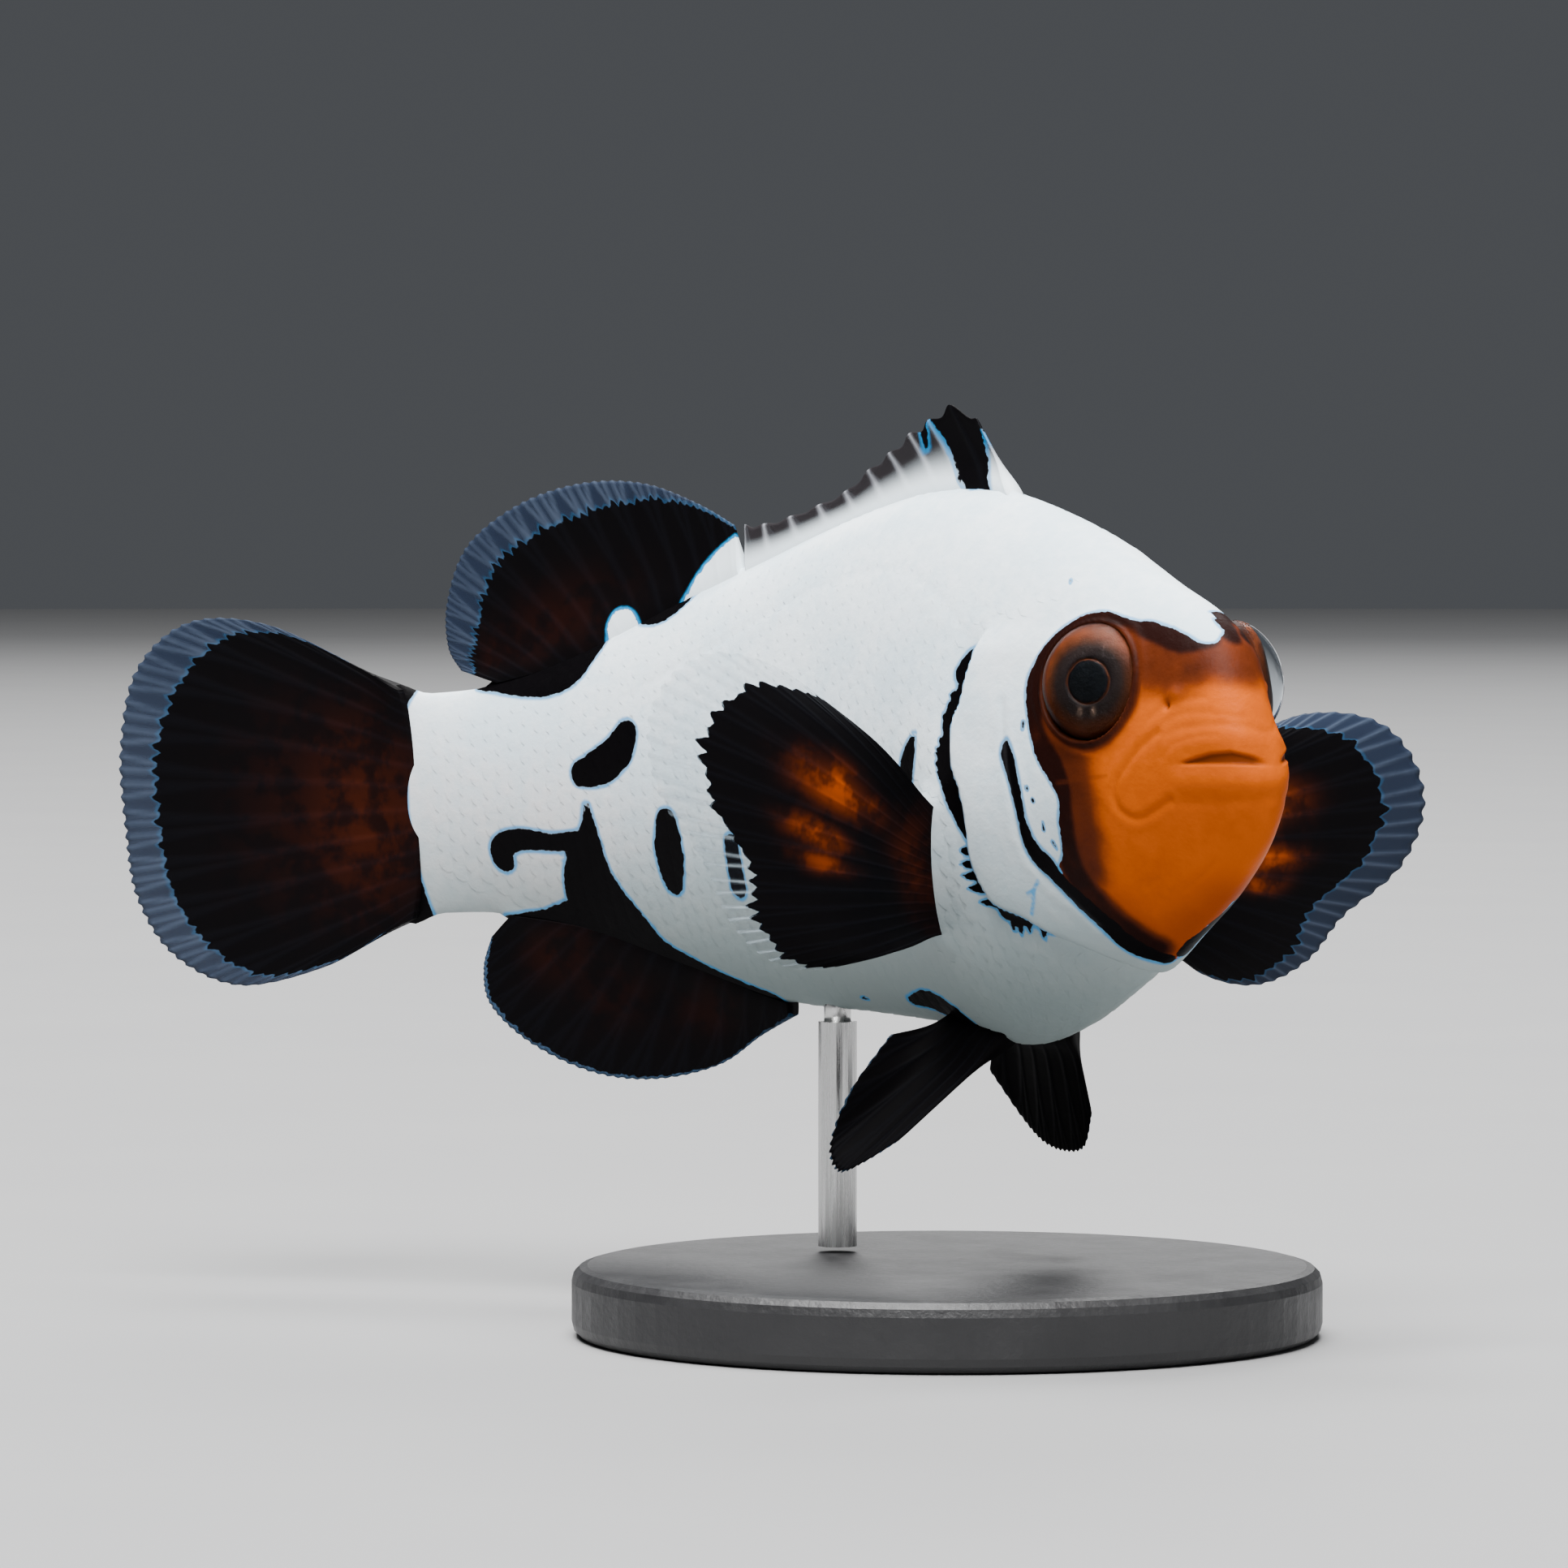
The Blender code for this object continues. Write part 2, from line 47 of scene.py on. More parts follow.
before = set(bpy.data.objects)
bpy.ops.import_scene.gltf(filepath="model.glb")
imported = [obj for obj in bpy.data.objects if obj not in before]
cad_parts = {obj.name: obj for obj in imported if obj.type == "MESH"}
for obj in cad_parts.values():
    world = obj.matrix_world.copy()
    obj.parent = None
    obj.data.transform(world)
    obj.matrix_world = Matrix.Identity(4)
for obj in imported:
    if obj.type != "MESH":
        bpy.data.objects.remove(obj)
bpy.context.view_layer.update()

MM = 0.001

# ---- body plan, as in the solids

# The body's sections: station along the backbone, height of the back, of the belly, half width.
BODY = (
    (0.7, 0.0, 0.0, 0.0), (1.0, 1.6, -1.4, 1.3), (1.8, 4.2, -2.9, 2.1), (3.3, 6.6, -4.4, 2.8),
    (6.0, 8.5, -6.5, 3.7), (9.5, 10.0, -8.4, 4.6), (13.5, 11.9, -10.35, 5.4), (18.0, 13.5, -12.35, 6.0),
    (22.5, 14.6, -13.3, 6.3), (28.0, 14.6, -12.4, 6.0), (34.0, 13.4, -11.8, 5.2), (40.0, 11.6, -11.2, 4.2),
    (46.0, 9.6, -9.4, 3.2), (52.0, 7.4, -7.4, 2.4), (57.0, 6.1, -6.3, 1.8), (61.0, 5.8, -6.1, 1.2),
    (63.5, 6.0, -6.2, 0.8), (64.2, 0.0, 0.0, 0.0),
)
KEEL = 0.25  # how much the flanks draw in towards the belly

# No fish is quite even: the share by which the snout's left side is drawn in, by station and by height.
DRAWN_STATIONS = ((1.8, 0.54), (2.3, 0.48), (3.0, 0.39), (4.0, 0.24), (5.0, 0.11), (6.0, 0.03), (7.0, 0.0))
DRAWN_HEIGHTS = (
    (-4.0, 0.0), (-2.5, 0.4), (-1.3, 0.52), (-0.2, 0.75), (0.6, 0.66), (1.2, 0.52), (2.2, 0.9), (3.8, 0.97),
    (5.3, 0.7), (7.2, 0.0),
)
LEFT_EYE_MOVE = (0.0, 1.65, -0.35)  # the left eye stands out further, a little lower
LEFT_BROW_OUT, LEFT_BROW_SPAN = 0.75, 3.3  # how much of that the skin round it follows

EYE = np.array((10.5, 2.9, 4.85))
EYE_RADIUS = 3.05
EYE_FORWARD, EYE_UP = 18.0, 8.0

HEAD_TURN = -17.0  # heading of the head, degrees to the left of +X
TRUNK_BEND = 32.0  # how far the tail stalk's heading differs from the head's
BEND_FROM, BEND_TO = 14.0, 62.0
TAIL_SWEEP = 8.0
SWEEP_FROM, SWEEP_TO = 56.0, 72.0
TILT, TILT_AXIS = 3.5, -50.0
AXIS_HEIGHT = 28.0
BALANCE_STATION = 28.0

# Fin rays, each as the station of its root and the station and height of its tip.
SPINY_RAYS = (
    (21.2, 23.9, 18.2), (22.9, 26.0, 19.0), (24.8, 27.8, 18.3), (26.8, 29.3, 17.7), (28.8, 30.9, 16.8),
    (30.8, 32.5, 16.0), (32.9, 34.2, 15.0), (35.0, 36.1, 14.4), (37.2, 38.1, 13.9), (39.3, 39.9, 13.6),
    (41.0, 41.2, 13.6),
)
SOFT_RAYS = (
    (41.5, 41.9, 13.6), (43.0, 44.3, 14.9), (45.2, 47.6, 16.1), (47.6, 51.4, 16.3), (49.9, 55.2, 15.4),
    (52.0, 58.4, 13.4), (54.0, 59.8, 10.5), (55.7, 59.9, 8.1), (57.0, 59.2, 6.8),
)
ANAL_RAYS = (
    (40.0, 40.0, -11.9), (41.5, 42.2, -12.9), (43.6, 45.0, -14.4), (46.0, 49.0, -15.1), (48.4, 52.8, -14.7),
    (50.8, 56.4, -13.1), (53.0, 58.7, -11.0), (55.0, 59.0, -9.0), (57.0, 58.4, -7.4),
)
# The tail fin's rays, each as the height of its root and the station and height of its tip.
TAIL_RAYS = (
    (5.9, 64.9, 7.1), (5.4, 70.2, 9.8), (4.4, 74.8, 10.2), (3.0, 78.0, 7.8), (1.4, 79.2, 3.6),
    (-0.4, 79.2, -0.8), (-2.1, 78.8, -4.4), (-3.8, 76.9, -7.6), (-5.0, 73.2, -9.4), (-5.8, 68.2, -8.6),
    (-6.1, 64.9, -7.0),
)
# A pectoral fin's root from top to foot, and its tips by their angle from its long axis and their
# distance from the middle.
PECTORAL_TOP, PECTORAL_FOOT = (21.5, -0.9), (23.5, -7.3)
PECTORAL_MIDDLE = (22.1, -3.9)
PECTORAL_RAYS = (
    (26.0, 11.0), (22.0, 13.5), (12.0, 17.4), (0.0, 18.8), (-11.0, 17.4), (-23.0, 14.0), (-36.0, 12.6),
    (-50.0, 10.6), (-64.0, 7.6),
)
PECTORAL_RAISE = {"right": 29.0, "left": 5.0}
PECTORAL_SWEEP = -4.0
PECTORAL_CUP = 1.2
# Pelvic rays, as on the left: station, side and height of each root on the skin, then of its tip.
PELVIC_RAYS = {
    "left": (
        (21.2, 1.7, -12.6, 25.0, 5.6, -17.3), (22.2, 1.7, -12.6, 27.5, 7.0, -19.2),
        (23.4, 1.6, -12.5, 29.5, 7.3, -19.5), (24.6, 1.6, -12.35, 30.7, 6.9, -19.0),
        (25.8, 1.6, -12.1, 31.0, 5.8, -17.6), (27.0, 1.5, -11.95, 30.6, 3.6, -15.0),
    ),
    "right": (
        (23.0, 1.1, -12.85, 26.1, 6.1, -17.6), (23.8, 1.2, -12.75, 27.4, 7.4, -18.6),
        (24.6, 1.3, -12.6, 28.7, 8.0, -19.0), (25.4, 1.35, -12.4, 29.5, 7.8, -17.7),
        (26.2, 1.4, -12.2, 28.9, 6.8, -15.1), (27.0, 1.45, -12.0, 28.1, 4.6, -12.4),
    ),
}
PELVIC_CARRIER = 24.6  # the fins keep the heading of this station

# ---- markings

# Patches are brush strokes on the skin: each point is a station, a height and the half width there.
CHEEK_BAND = (
    (15.25, 2.3, 0.12), (15.25, 1.7, 0.4), (14.9, 0.6, 0.36), (14.7, -0.7, 0.3), (14.6, -1.8, 0.3),
    (14.35, -3.0, 0.45), (13.6, -3.9, 0.5),
)
RIGHT_CHIN = ((13.6, -3.9, 0.42), (12.9, -4.9, 0.4), (12.15, -5.85, 0.42), (11.4, -6.85, 0.48),
              (10.8, -7.85, 0.5), (10.05, -8.6, 0.4))
LEFT_CHIN = (
    ((13.6, -3.9, 0.5), (12.0, -4.7, 0.5), (10.2, -5.3, 0.45), (8.4, -5.7, 0.35), (6.8, -5.95, 0.25),
     (5.6, -6.0, 0.15)),
    ((5.6, -6.0, 0.25), (6.4, -6.62, 0.35), (7.4, -7.25, 0.42), (8.4, -7.83, 0.45), (9.4, -8.33, 0.45)),
)
# Black behind the gill cover's edge, which cuts it off in front.
GILL_BAND = (
    ((17.9, 7.0, 0.03), (18.4, 6.4, 0.42), (18.9, 5.65, 0.52)),
    ((18.7, 4.95, 0.45), (19.0, 4.4, 0.45), (19.6, 3.5, 0.52), (19.7, 2.8, 0.5)),
    ((19.8, 2.1, 0.6), (20.0, 1.5, 0.64), (19.9, 0.8, 0.68)),
    ((19.6, 0.3, 0.75), (19.4, -0.5, 0.7), (19.2, -1.3, 0.52), (19.05, -2.1, 0.32), (18.9, -2.8, 0.1)),
    ((17.8, -6.2, 0.35), (17.0, -6.55, 0.42), (16.3, -6.7, 0.3)),
    ((15.8, -7.0, 0.2), (15.2, -7.25, 0.16)),
)
# Teeth of that black: station and height of the foot, and length.
GILL_TEETH = (
    (18.9, -3.15, 0.9), (18.8, -3.8, 1.25), (18.7, -4.4, 1.45), (18.5, -5.05, 1.45), (18.0, -5.75, 1.4),
    (19.2, 4.6, 0.55), (19.4, 4.1, 0.5), (19.7, 3.6, 0.55), (19.8, 3.1, 0.45), (20.1, 2.4, 0.45),
    (20.2, 1.9, 0.6), (20.2, 1.3, 0.6), (20.2, 0.7, 0.5), (20.0, 0.2, 0.4),
)
# A tooth's points: share of its length, height over its foot and half width.
TOOTH = ((0.0, 0.0, 0.3), (0.6, 0.02, 0.2), (1.0, 0.08, 0.01))
# Drips under its lower end: station and height of each, then their points counted from there.
GILL_DRIPS = ((17.3, -6.5), (16.9, -6.7), (16.3, -6.6), (15.6, -7.0))
DRIP = ((0.0, 0.0, 0.24), (0.2, -0.45, 0.16), (0.3, -0.8, 0.01))
BOTH_SIDES = (
    # above and at the root of the pectoral fin
    ((22.5, 2.8, 0.1), (23.1, 1.6, 0.55), (23.4, 0.6, 0.55), (23.4, -0.3, 0.12)),
    ((22.9, -0.5, 0.25), (21.8, -0.95, 0.36)),
    # along the root of the dorsal fins
    ((22.0, 15.1, 0.35), (23.0, 15.1, 0.55), (24.0, 14.8, 0.5)),
    ((44.9, 10.3, 0.7), (46.2, 9.7, 1.4), (47.3, 9.3, 0.95)),
    ((51.5, 7.9, 1.5), (52.5, 7.2, 2.0), (54.0, 6.8, 2.0), (55.6, 6.4, 1.4), (57.8, 6.0, 0.5)),
    # specks on the cheek
    ((14.1, 3.2, 0.12), (14.15, 2.9, 0.1)),
    ((14.0, 0.0, 0.1), (13.98, -0.05, 0.1)),
    ((13.7, -0.6, 0.1), (13.68, -0.66, 0.1)),
    ((13.25, -1.7, 0.04), (13.3, -2.1, 0.09)),
    ((12.9, -2.7, 0.1), (12.75, -3.05, 0.05)),
)
RIGHT_SIDE = (
    # angled spot, oval spot and faint spot on the flank
    ((47.9, 3.1, 0.8), (48.4, 2.3, 1.0), (49.7, 1.5, 1.0), (51.0, 1.2, 0.7)),
    ((45.2, -1.5, 0.75), (45.3, -3.0, 1.05), (45.4, -4.6, 0.75)),
    ((40.3, -2.7, 0.55), (40.4, -5.0, 0.6)),
    # the patch over the anal fin with its hooked arm
    ((41.0, -11.0, 0.8), (44.0, -10.6, 1.2), (47.5, -9.2, 1.5), (50.5, -6.6, 2.1), (51.3, -4.6, 1.7),
     (51.0, -2.9, 1.0), (50.8, -1.6, 0.5), (50.8, -0.6, 0.25)),
    ((50.0, -8.4, 2.2), (53.0, -7.4, 1.7), (57.0, -6.6, 0.6)),
    ((51.2, -2.3, 0.5), (53.3, -2.4, 0.5), (55.4, -2.2, 0.6), (56.6, -2.6, 0.75), (56.6, -3.3, 0.65)),
    ((51.4, -6.0, 1.1), (53.2, -6.4, 0.9), (54.9, -6.4, 0.4)),
    # on the belly before the pelvic fins' roots, and a speck on the brow
    ((29.6, -11.0, 0.3), (27.6, -11.0, 0.75), (26.2, -11.8, 0.9), (25.0, -13.0, 0.6)),
    ((33.9, -10.9, 0.12), (33.4, -10.95, 0.14)),
    ((12.9, 9.9, 0.07), (13.0, 10.05, 0.07)),
)
LEFT_SIDE = (
    ((47.2, 3.0, 0.5), (48.4, 2.2, 0.8), (50.0, 2.0, 0.8), (51.2, 2.6, 0.4)),
    ((44.0, -2.2, 0.6), (44.3, -4.0, 0.8)),
    ((41.0, -11.0, 0.8), (44.5, -10.4, 1.3), (48.0, -8.8, 1.7), (50.4, -6.0, 1.9), (50.8, -3.6, 1.1),
     (51.2, -2.0, 0.5)),
    ((50.0, -8.4, 2.2), (53.0, -7.4, 1.7), (57.0, -6.6, 0.6)),
    ((29.0, -11.2, 0.4), (27.2, -11.2, 0.7), (25.6, -12.4, 0.7)),
)
# Blue cracks: lines that show only their rim.
BLUE_LINES = (((14.5, -4.6), (14.9, -5.0), (15.2, -5.6), (15.6, -6.2)), ((14.9, -5.0), (15.4, -5.2)))
BLUE_LINE_GAP = 0.06
# Where the tail's black begins: heights, and the station at each.
TAIL_BLACK = ((-6.4, -5.5, -3.0, -0.5, 2.3, 4.4, 5.9), (61.6, 61.8, 62.3, 62.5, 62.4, 62.7, 61.9))

# The border between face and white, from the brow to the throat. A white tongue reaches forward over the
# right brow; on the left the dark brow comes up to the ridge, and white reaches forward under the chin.
CHEEK_BORDER = ((9.0, 8.1), (10.6, 8.4), (12.4, 7.6), (13.8, 5.8), (14.0, 4.4), (13.3, 1.7), (12.0, -0.4))
RIGHT_BORDER = (
    (4.9, 7.85), (4.4, 7.5), (3.95, 7.15), (3.75, 6.72), (4.3, 6.72), (5.1, 7.1), (6.2, 7.55), (7.3, 7.85),
    (8.1, 7.9), *CHEEK_BORDER,
    (12.2, -1.6), (12.4, -3.2), (12.9, -4.0), (12.45, -5.3), (11.5, -6.5), (10.75, -7.5), (10.05, -8.3),
    (9.6, -9.4),
)
LEFT_BORDER = (
    (3.4, 7.4), (4.3, 8.1), (4.9, 8.3), (5.5, 8.2), (6.6, 7.8), (7.8, 7.85), *CHEEK_BORDER,
    (12.0, -2.0), (11.4, -3.4), (10.0, -4.5), (8.2, -5.2), (6.8, -5.65), (5.5, -5.95), (5.5, -6.1),
    (6.4, -6.72), (7.4, -7.35), (8.4, -7.93), (9.4, -8.43), (9.6, -9.4),
)
# Where the face darkens, as soft strokes: nearly black along its border.
DUSK = (
    ((4.0, 6.8, 0.15), (5.2, 6.8, 0.25), (7.2, 7.5, 0.25), (9.5, 8.1, 0.25), (12.3, 7.2, 0.3),
     (13.5, 5.0, 0.3), (13.2, 2.6, 0.4), (12.0, 0.5, 0.4), (11.8, -1.4, 0.3), (12.1, -3.4, 0.35),
     (11.8, -5.0, 0.35), (10.8, -6.8, 0.35), (9.8, -8.0, 0.3)),
    ((3.4, 7.2, 0.3), (4.2, 7.9, 0.6), (5.2, 8.1, 0.6), (6.8, 7.8, 0.4)),
)
# Paler brown over the brow and the cheek.
BROW_DUSK = (
    ((2.4, 5.6, 0.2), (3.6, 6.1, 0.5), (5.2, 6.1, 0.8), (7.0, 6.5, 0.8), (8.4, 7.4, 0.4)),
    ((12.0, 1.6, 0.6), (11.2, 0.4, 0.7), (11.1, -2.0, 0.5), (11.2, -4.0, 0.3)),
)
# Strokes, how dark they are and how far they fade.
DUSK_PARTS = ((DUSK, 0.95, 0.7), (BROW_DUSK, 0.62, 1.4))
# Dark round the eye: distance from its axis, half width of the full dark, its depth and how far it fades.
EYE_DUSK = (2.9, 0.15, 0.8, 0.5)
# A faint line across the cheek.
SUTURE = ((11.9, 0.2, 0.02), (10.4, 0.35, 0.05), (8.7, 0.5, 0.02))
SUTURE_FADE = 0.08
# The warm tint of the tail stalk: stations over which it comes in, its middle height and half width.
STALK_FROM, STALK_MIDDLE, STALK_HALF = (40.0, 52.0), -0.5, 4.5

# Features of the flank that have height, each a line of stations and heights.
GILL_EDGE = (
    (17.0, 8.4), (17.9, 7.1), (18.1, 6.4), (18.4, 5.5), (18.7, 4.3), (19.2, 3.5), (19.35, 2.6), (19.4, 1.6),
    (19.2, 0.7), (18.9, 0.1), (18.7, -1.1), (18.75, -2.3), (18.85, -3.2), (18.75, -4.2), (18.5, -5.0),
    (18.1, -5.7), (17.4, -6.1), (16.3, -6.5), (15.2, -7.2), (13.6, -7.9), (11.8, -8.9), (10.8, -9.8),
)
CHEEK_EDGE = ((15.5, 4.2), (15.4, 1.8), (15.1, -0.6), (15.0, -2.6), (14.2, -4.2), (12.9, -5.5), (11.9, -6.8))
JAW_FOLD = (
    (5.6, 2.5), (6.7, 1.75), (7.5, 0.95), (8.15, 0.2), (8.4, -0.5), (8.15, -1.25), (7.3, -1.65), (6.3, -1.35),
    (5.2, -0.8),
)
CHIN_FOLDS = (((4.2, -3.9), (5.2, -4.6), (6.4, -5.2)), ((7.4, -4.6), (8.2, -5.0)))
LIP_WRINKLES = (
    ((6.2, 1.2), (5.9, 2.3), (5.0, 3.1), (3.8, 3.4), (2.6, 3.3), (1.6, 3.1)),
    ((7.0, 1.4), (6.6, 2.6), (5.7, 3.5), (4.4, 4.0), (3.2, 4.1)),
    ((5.3, 1.3), (4.6, 1.9), (3.5, 2.2), (2.4, 2.3)),
)
LATERAL_LINE = ((18.8, 7.6), (22.0, 9.7), (26.2, 11.0), (34.0, 10.0), (42.0, 7.4), (48.0, 5.0))

# Ridges, grooves and lines of painted shade from here on are given as their strength, then their half width.
COVER_BULGE, COVER_STEP, COVER_SHADE = (0.3, 3.0), (0.12, 0.9), (0.45, 0.08)
COVER_TOP = (8.4, 6.4)  # heights between which the gill cover's edge comes in
LATERAL_GROOVE = (0.04, 0.15)

# The mouth, by the direction in degrees from a point inside the head: heights of the upper lip's fold,
# of the gap's arch and of its floor, and of the crease under the lower lip.
MOUTH_CENTRE = 6.0
MOUTH_BEARINGS = (0.0, 6.0, 15.0, 25.0, 37.0, 49.0, 60.0, 75.0, 90.0)
LIP_FOLD = (2.35, 2.4, 2.7, 2.8, 2.8, 2.75, 2.7, 2.45, 2.0)
GAP_ARCH = (0.78, 0.9, 1.2, 1.42, 1.38, 1.18, 1.0, 0.8, 0.8)
GAP_FLOOR = (0.68, 0.7, 0.8, 0.86, 0.9, 0.92, 0.95, 0.8, 0.8)
CHIN_CREASE = (-0.85, -0.9, -1.0, -1.0, -1.05, -1.0, -0.95, -0.9, -0.9)
# The last of these is the painted shade in the mouth's gap.
GAP_DEPTH, GAP_EDGE, GAP_SHADE = 0.19, (-0.12, 0.1), 0.85
GAP_END, LIP_END = (55.0, 66.0), (58.0, 88.0)  # directions over which the gap and the lips fade out
GAP_MIDDLE = (0.1, 3.0, 14.0)  # how open it is before the snout, and the directions over which it opens
# The last of these is the painted shade under the upper lip's fold: strength and half width.
UPPER_LIP, UPPER_CREASE, UPPER_FOLD_SHADE = (0.1, 0.7), (0.03, 0.22), (0.12, 0.16)
LOWER_LIP, LOWER_CREASE = (0.13, 0.7), (0.03, 0.3)
LOWER_LIP_RISE = 0.1  # how far its middle lies over the middle of its space
NOSTRIL, NOSTRIL_RIM = (4.8, 4.3), (0.2, 0.4)
# The last of these is the painted shade in the nostril's pit.
NOSTRIL_PIT, PIT_SINK, PIT_SHADE = (5.15, 3.8), (0.3, 0.2), (0.8, 0.15)
PIT_SHAPE = (1.6, 0.9)  # how much narrower it is than a round one along the body, and in height
# Lines pressed into the face: the line, its depth and half width.
FOLDS = (
    (JAW_FOLD, 0.06, 0.18),
    (CHEEK_EDGE, 0.04, 0.2),
    *((line, 0.018, 0.14) for line in LIP_WRINKLES),
    *((line, 0.025, 0.16) for line in CHIN_FOLDS),
)
# Rings of skin round the eye: distance from its axis, height and half width.
EYE_RINGS = ((2.98, 0.2, 0.13), (3.45, 0.07, 0.25))
# The second of these is the painted shade at the lid's edge: strength and half width.
LID_EDGE, LID_SHADE = 2.8, (0.5, 0.09)
SOCKET_EDGE, SOCKET_DEPTH = (2.64, 2.88), 1.7
EYE_FACING = (-1.0, 0.5)  # distances along the eye's axis over which its rings come in
# The ridge that carries the middle fins, and where it comes in on back and belly and fades out.
FIN_BASE, CREST_FROM, SOLE_FROM, FIN_BASE_TO = (0.35, 0.5), (20.5, 22.0), (39.5, 41.0), (58.0, 57.0)
FIN_LOBE = (0.45, 0.8)  # the lobe that carries a pectoral fin

SKIN_DEPTH = 0.12  # how far the skin lies inside the solids, under the scales
SKIN_GLOSS = 0.04  # specular level of skin and fins, which look matt under water


# ---- shaping tools


def columns(*parts):
    return np.stack(parts, axis=1)


def between(start, end, share):
    return start + (end - start) * share[:, None]


def smooth_step(value, low, high):
    share = np.clip((np.asarray(value, float) - low) / (high - low), 0.0, 1.0)
    return share * share * (3 - 2 * share)


def bell(value, width):
    return np.exp(-((value / width) ** 2))


def hump(gap, tall, wide):
    """Height at a distance from the middle of a rounded ridge."""
    return tall * bell(gap, wide)


def running(steps):
    """Sums of the steps so far, from 0."""
    return np.concatenate(([0.0], np.cumsum(steps)))


def through(rows, at):
    """A smooth curve through rows of numbers, read at an array of row numbers."""
    rows = np.asarray(rows, float)
    at = np.asarray(at, float)
    index = np.clip(at.astype(int), 0, len(rows) - 2)
    a = rows[np.maximum(index - 1, 0)]
    b, c = rows[index], rows[index + 1]
    d = rows[np.minimum(index + 2, len(rows) - 1)]
    f = (at - index)[:, None]
    return 0.5 * (2 * b + (c - a) * f + (2 * a - 5 * b + 4 * c - d) * f**2 + (3 * b - a - 3 * c + d) * f**3)


def mirrored_ends():
    """BODY with a row more at each end, so that the curve through it closes at right angles."""
    ahead, behind = ((s, belly, back, -width) for s, back, belly, width in (BODY[1], BODY[-2]))
    return np.array((ahead, *BODY, behind))


CLOSED_BODY = mirrored_ends()
LAST_ROW = len(BODY) - 1
ROW_TABLE = np.linspace(0.0, LAST_ROW, 3401)


def section(row):
    """Arrays of station, back, belly and half width at row numbers of BODY."""
    return through(CLOSED_BODY, np.asarray(row, float) + 1).T


STATION_TABLE = section(ROW_TABLE)[0]


def row_of(station):
    return np.interp(station, STATION_TABLE, ROW_TABLE)


STEP = 1e-3  # how far aside a surface is read to find its slope


def skin_points(row, angle):
    """Points of the straight skin: angle 0 is the ridge of the back and 90 degrees the left flank."""
    s, back, belly, width = section(row)
    keel = 1.0 - KEEL * np.maximum(0.0, -np.cos(angle)) ** 2
    height = (back + belly) / 2 + (back - belly) / 2 * np.cos(angle)
    return columns(s, width * np.sin(angle) * keel, height)


def on_flank(line):
    """Places on the left flank from rows that start with a station and a height."""
    station, height = line[:, 0], line[:, 1]
    row = row_of(station)
    _, back, belly, _ = section(row)
    cosine = (height - (back + belly) / 2) / np.maximum((back - belly) / 2, 1e-6)
    return columns(station, skin_points(row, np.arccos(np.clip(cosine, -1.0, 1.0)))[:, 1], height)


def skin_normals(row, angle):
    """Outward unit vectors of the straight skin."""
    before, behind = np.maximum(row - STEP, 0), np.minimum(row + STEP, LAST_ROW)
    along = skin_points(behind, angle) - skin_points(before, angle)
    around = skin_points(row, angle + STEP) - skin_points(row, angle - STEP)
    normal = np.cross(along, around)
    length = np.linalg.norm(normal, axis=1, keepdims=True)
    ends = np.where(np.asarray(row)[:, None] < LAST_ROW / 2, (-1.0, 0.0, 0.0), (1.0, 0.0, 0.0))
    return np.where(length > 1e-12, normal / np.maximum(length, 1e-12), ends)


def uneven(at):
    """Points of the skin with the small differences between the left flank and the right."""
    s, y, z = at.T
    drawn = np.interp(s, *zip(*DRAWN_STATIONS)) * np.interp(z, *zip(*DRAWN_HEIGHTS))
    brow = bell(np.hypot(s - EYE[0], z - EYE[2]), LEFT_BROW_SPAN) * np.minimum(1.0, y / EYE[1])
    return columns(s, np.where(y > 0.0, y * (1.0 - drawn) + LEFT_BROW_OUT * brow, y), z)


def heading(station):
    """The backbone's direction there, in radians to the left of +X."""
    bend = TRUNK_BEND * smooth_step(station, BEND_FROM, BEND_TO)
    sweep = TAIL_SWEEP * smooth_step(station, SWEEP_FROM, SWEEP_TO)
    return np.radians(HEAD_TURN + bend + sweep)


SPINE_STEP = 0.1
SPINE = np.arange(-4.0, 84.0, SPINE_STEP)


def spine_table():
    """Where each station of SPINE lies, with the balance station at the middle of the stand."""
    middles = heading(SPINE + SPINE_STEP / 2)[:-1]
    x, y = -running(np.cos(middles)) * SPINE_STEP, -running(np.sin(middles)) * SPINE_STEP
    return x - np.interp(BALANCE_STATION, SPINE, x), y - np.interp(BALANCE_STATION, SPINE, y)


SPINE_X, SPINE_Y = spine_table()
TILT_LINE = Vector((math.cos(math.radians(TILT_AXIS)), math.sin(math.radians(TILT_AXIS)), 0.0))
TILT_MATRIX = np.array(Matrix.Rotation(math.radians(TILT), 3, TILT_LINE))


def posed(points, carrier=None):
    """Straight points, in millimetres, bent into the pose, in metres."""
    points = np.asarray(points, float)
    held = points[:, 0] if carrier is None else np.full(len(points), float(carrier))
    turn = heading(held)
    ahead = held - points[:, 0]
    x = np.interp(held, SPINE, SPINE_X) + np.cos(turn) * ahead - np.sin(turn) * points[:, 1]
    y = np.interp(held, SPINE, SPINE_Y) + np.sin(turn) * ahead + np.cos(turn) * points[:, 1]
    bent = columns(x, y, points[:, 2]) @ TILT_MATRIX.T
    return (bent + (0.0, 0.0, AXIS_HEIGHT)) * MM


# ---- distances for marks and folds

FAR = 5.0  # distances past this don't matter


def smoothed(points, parts=6):
    """A line's points with smooth ones put in between."""
    return through(points, np.linspace(0.0, len(points) - 1, (len(points) - 1) * parts + 1))


def line_gap(at, line, widths):
    """Distance from points to a line's edge, where widths are its half widths at its points."""
    best = np.full(len(at), FAR)
    for a, b, wide_a, wide_b in zip(line[:-1], line[1:], widths[:-1], widths[1:]):
        run = b - a
        share = np.clip(((at - a) @ run) / max(run @ run, 1e-9), 0.0, 1.0)
        gap = np.linalg.norm(at - a - share[:, None] * run, axis=1) - (wide_a + (wide_b - wide_a) * share)
        best = np.minimum(best, gap)
    return best


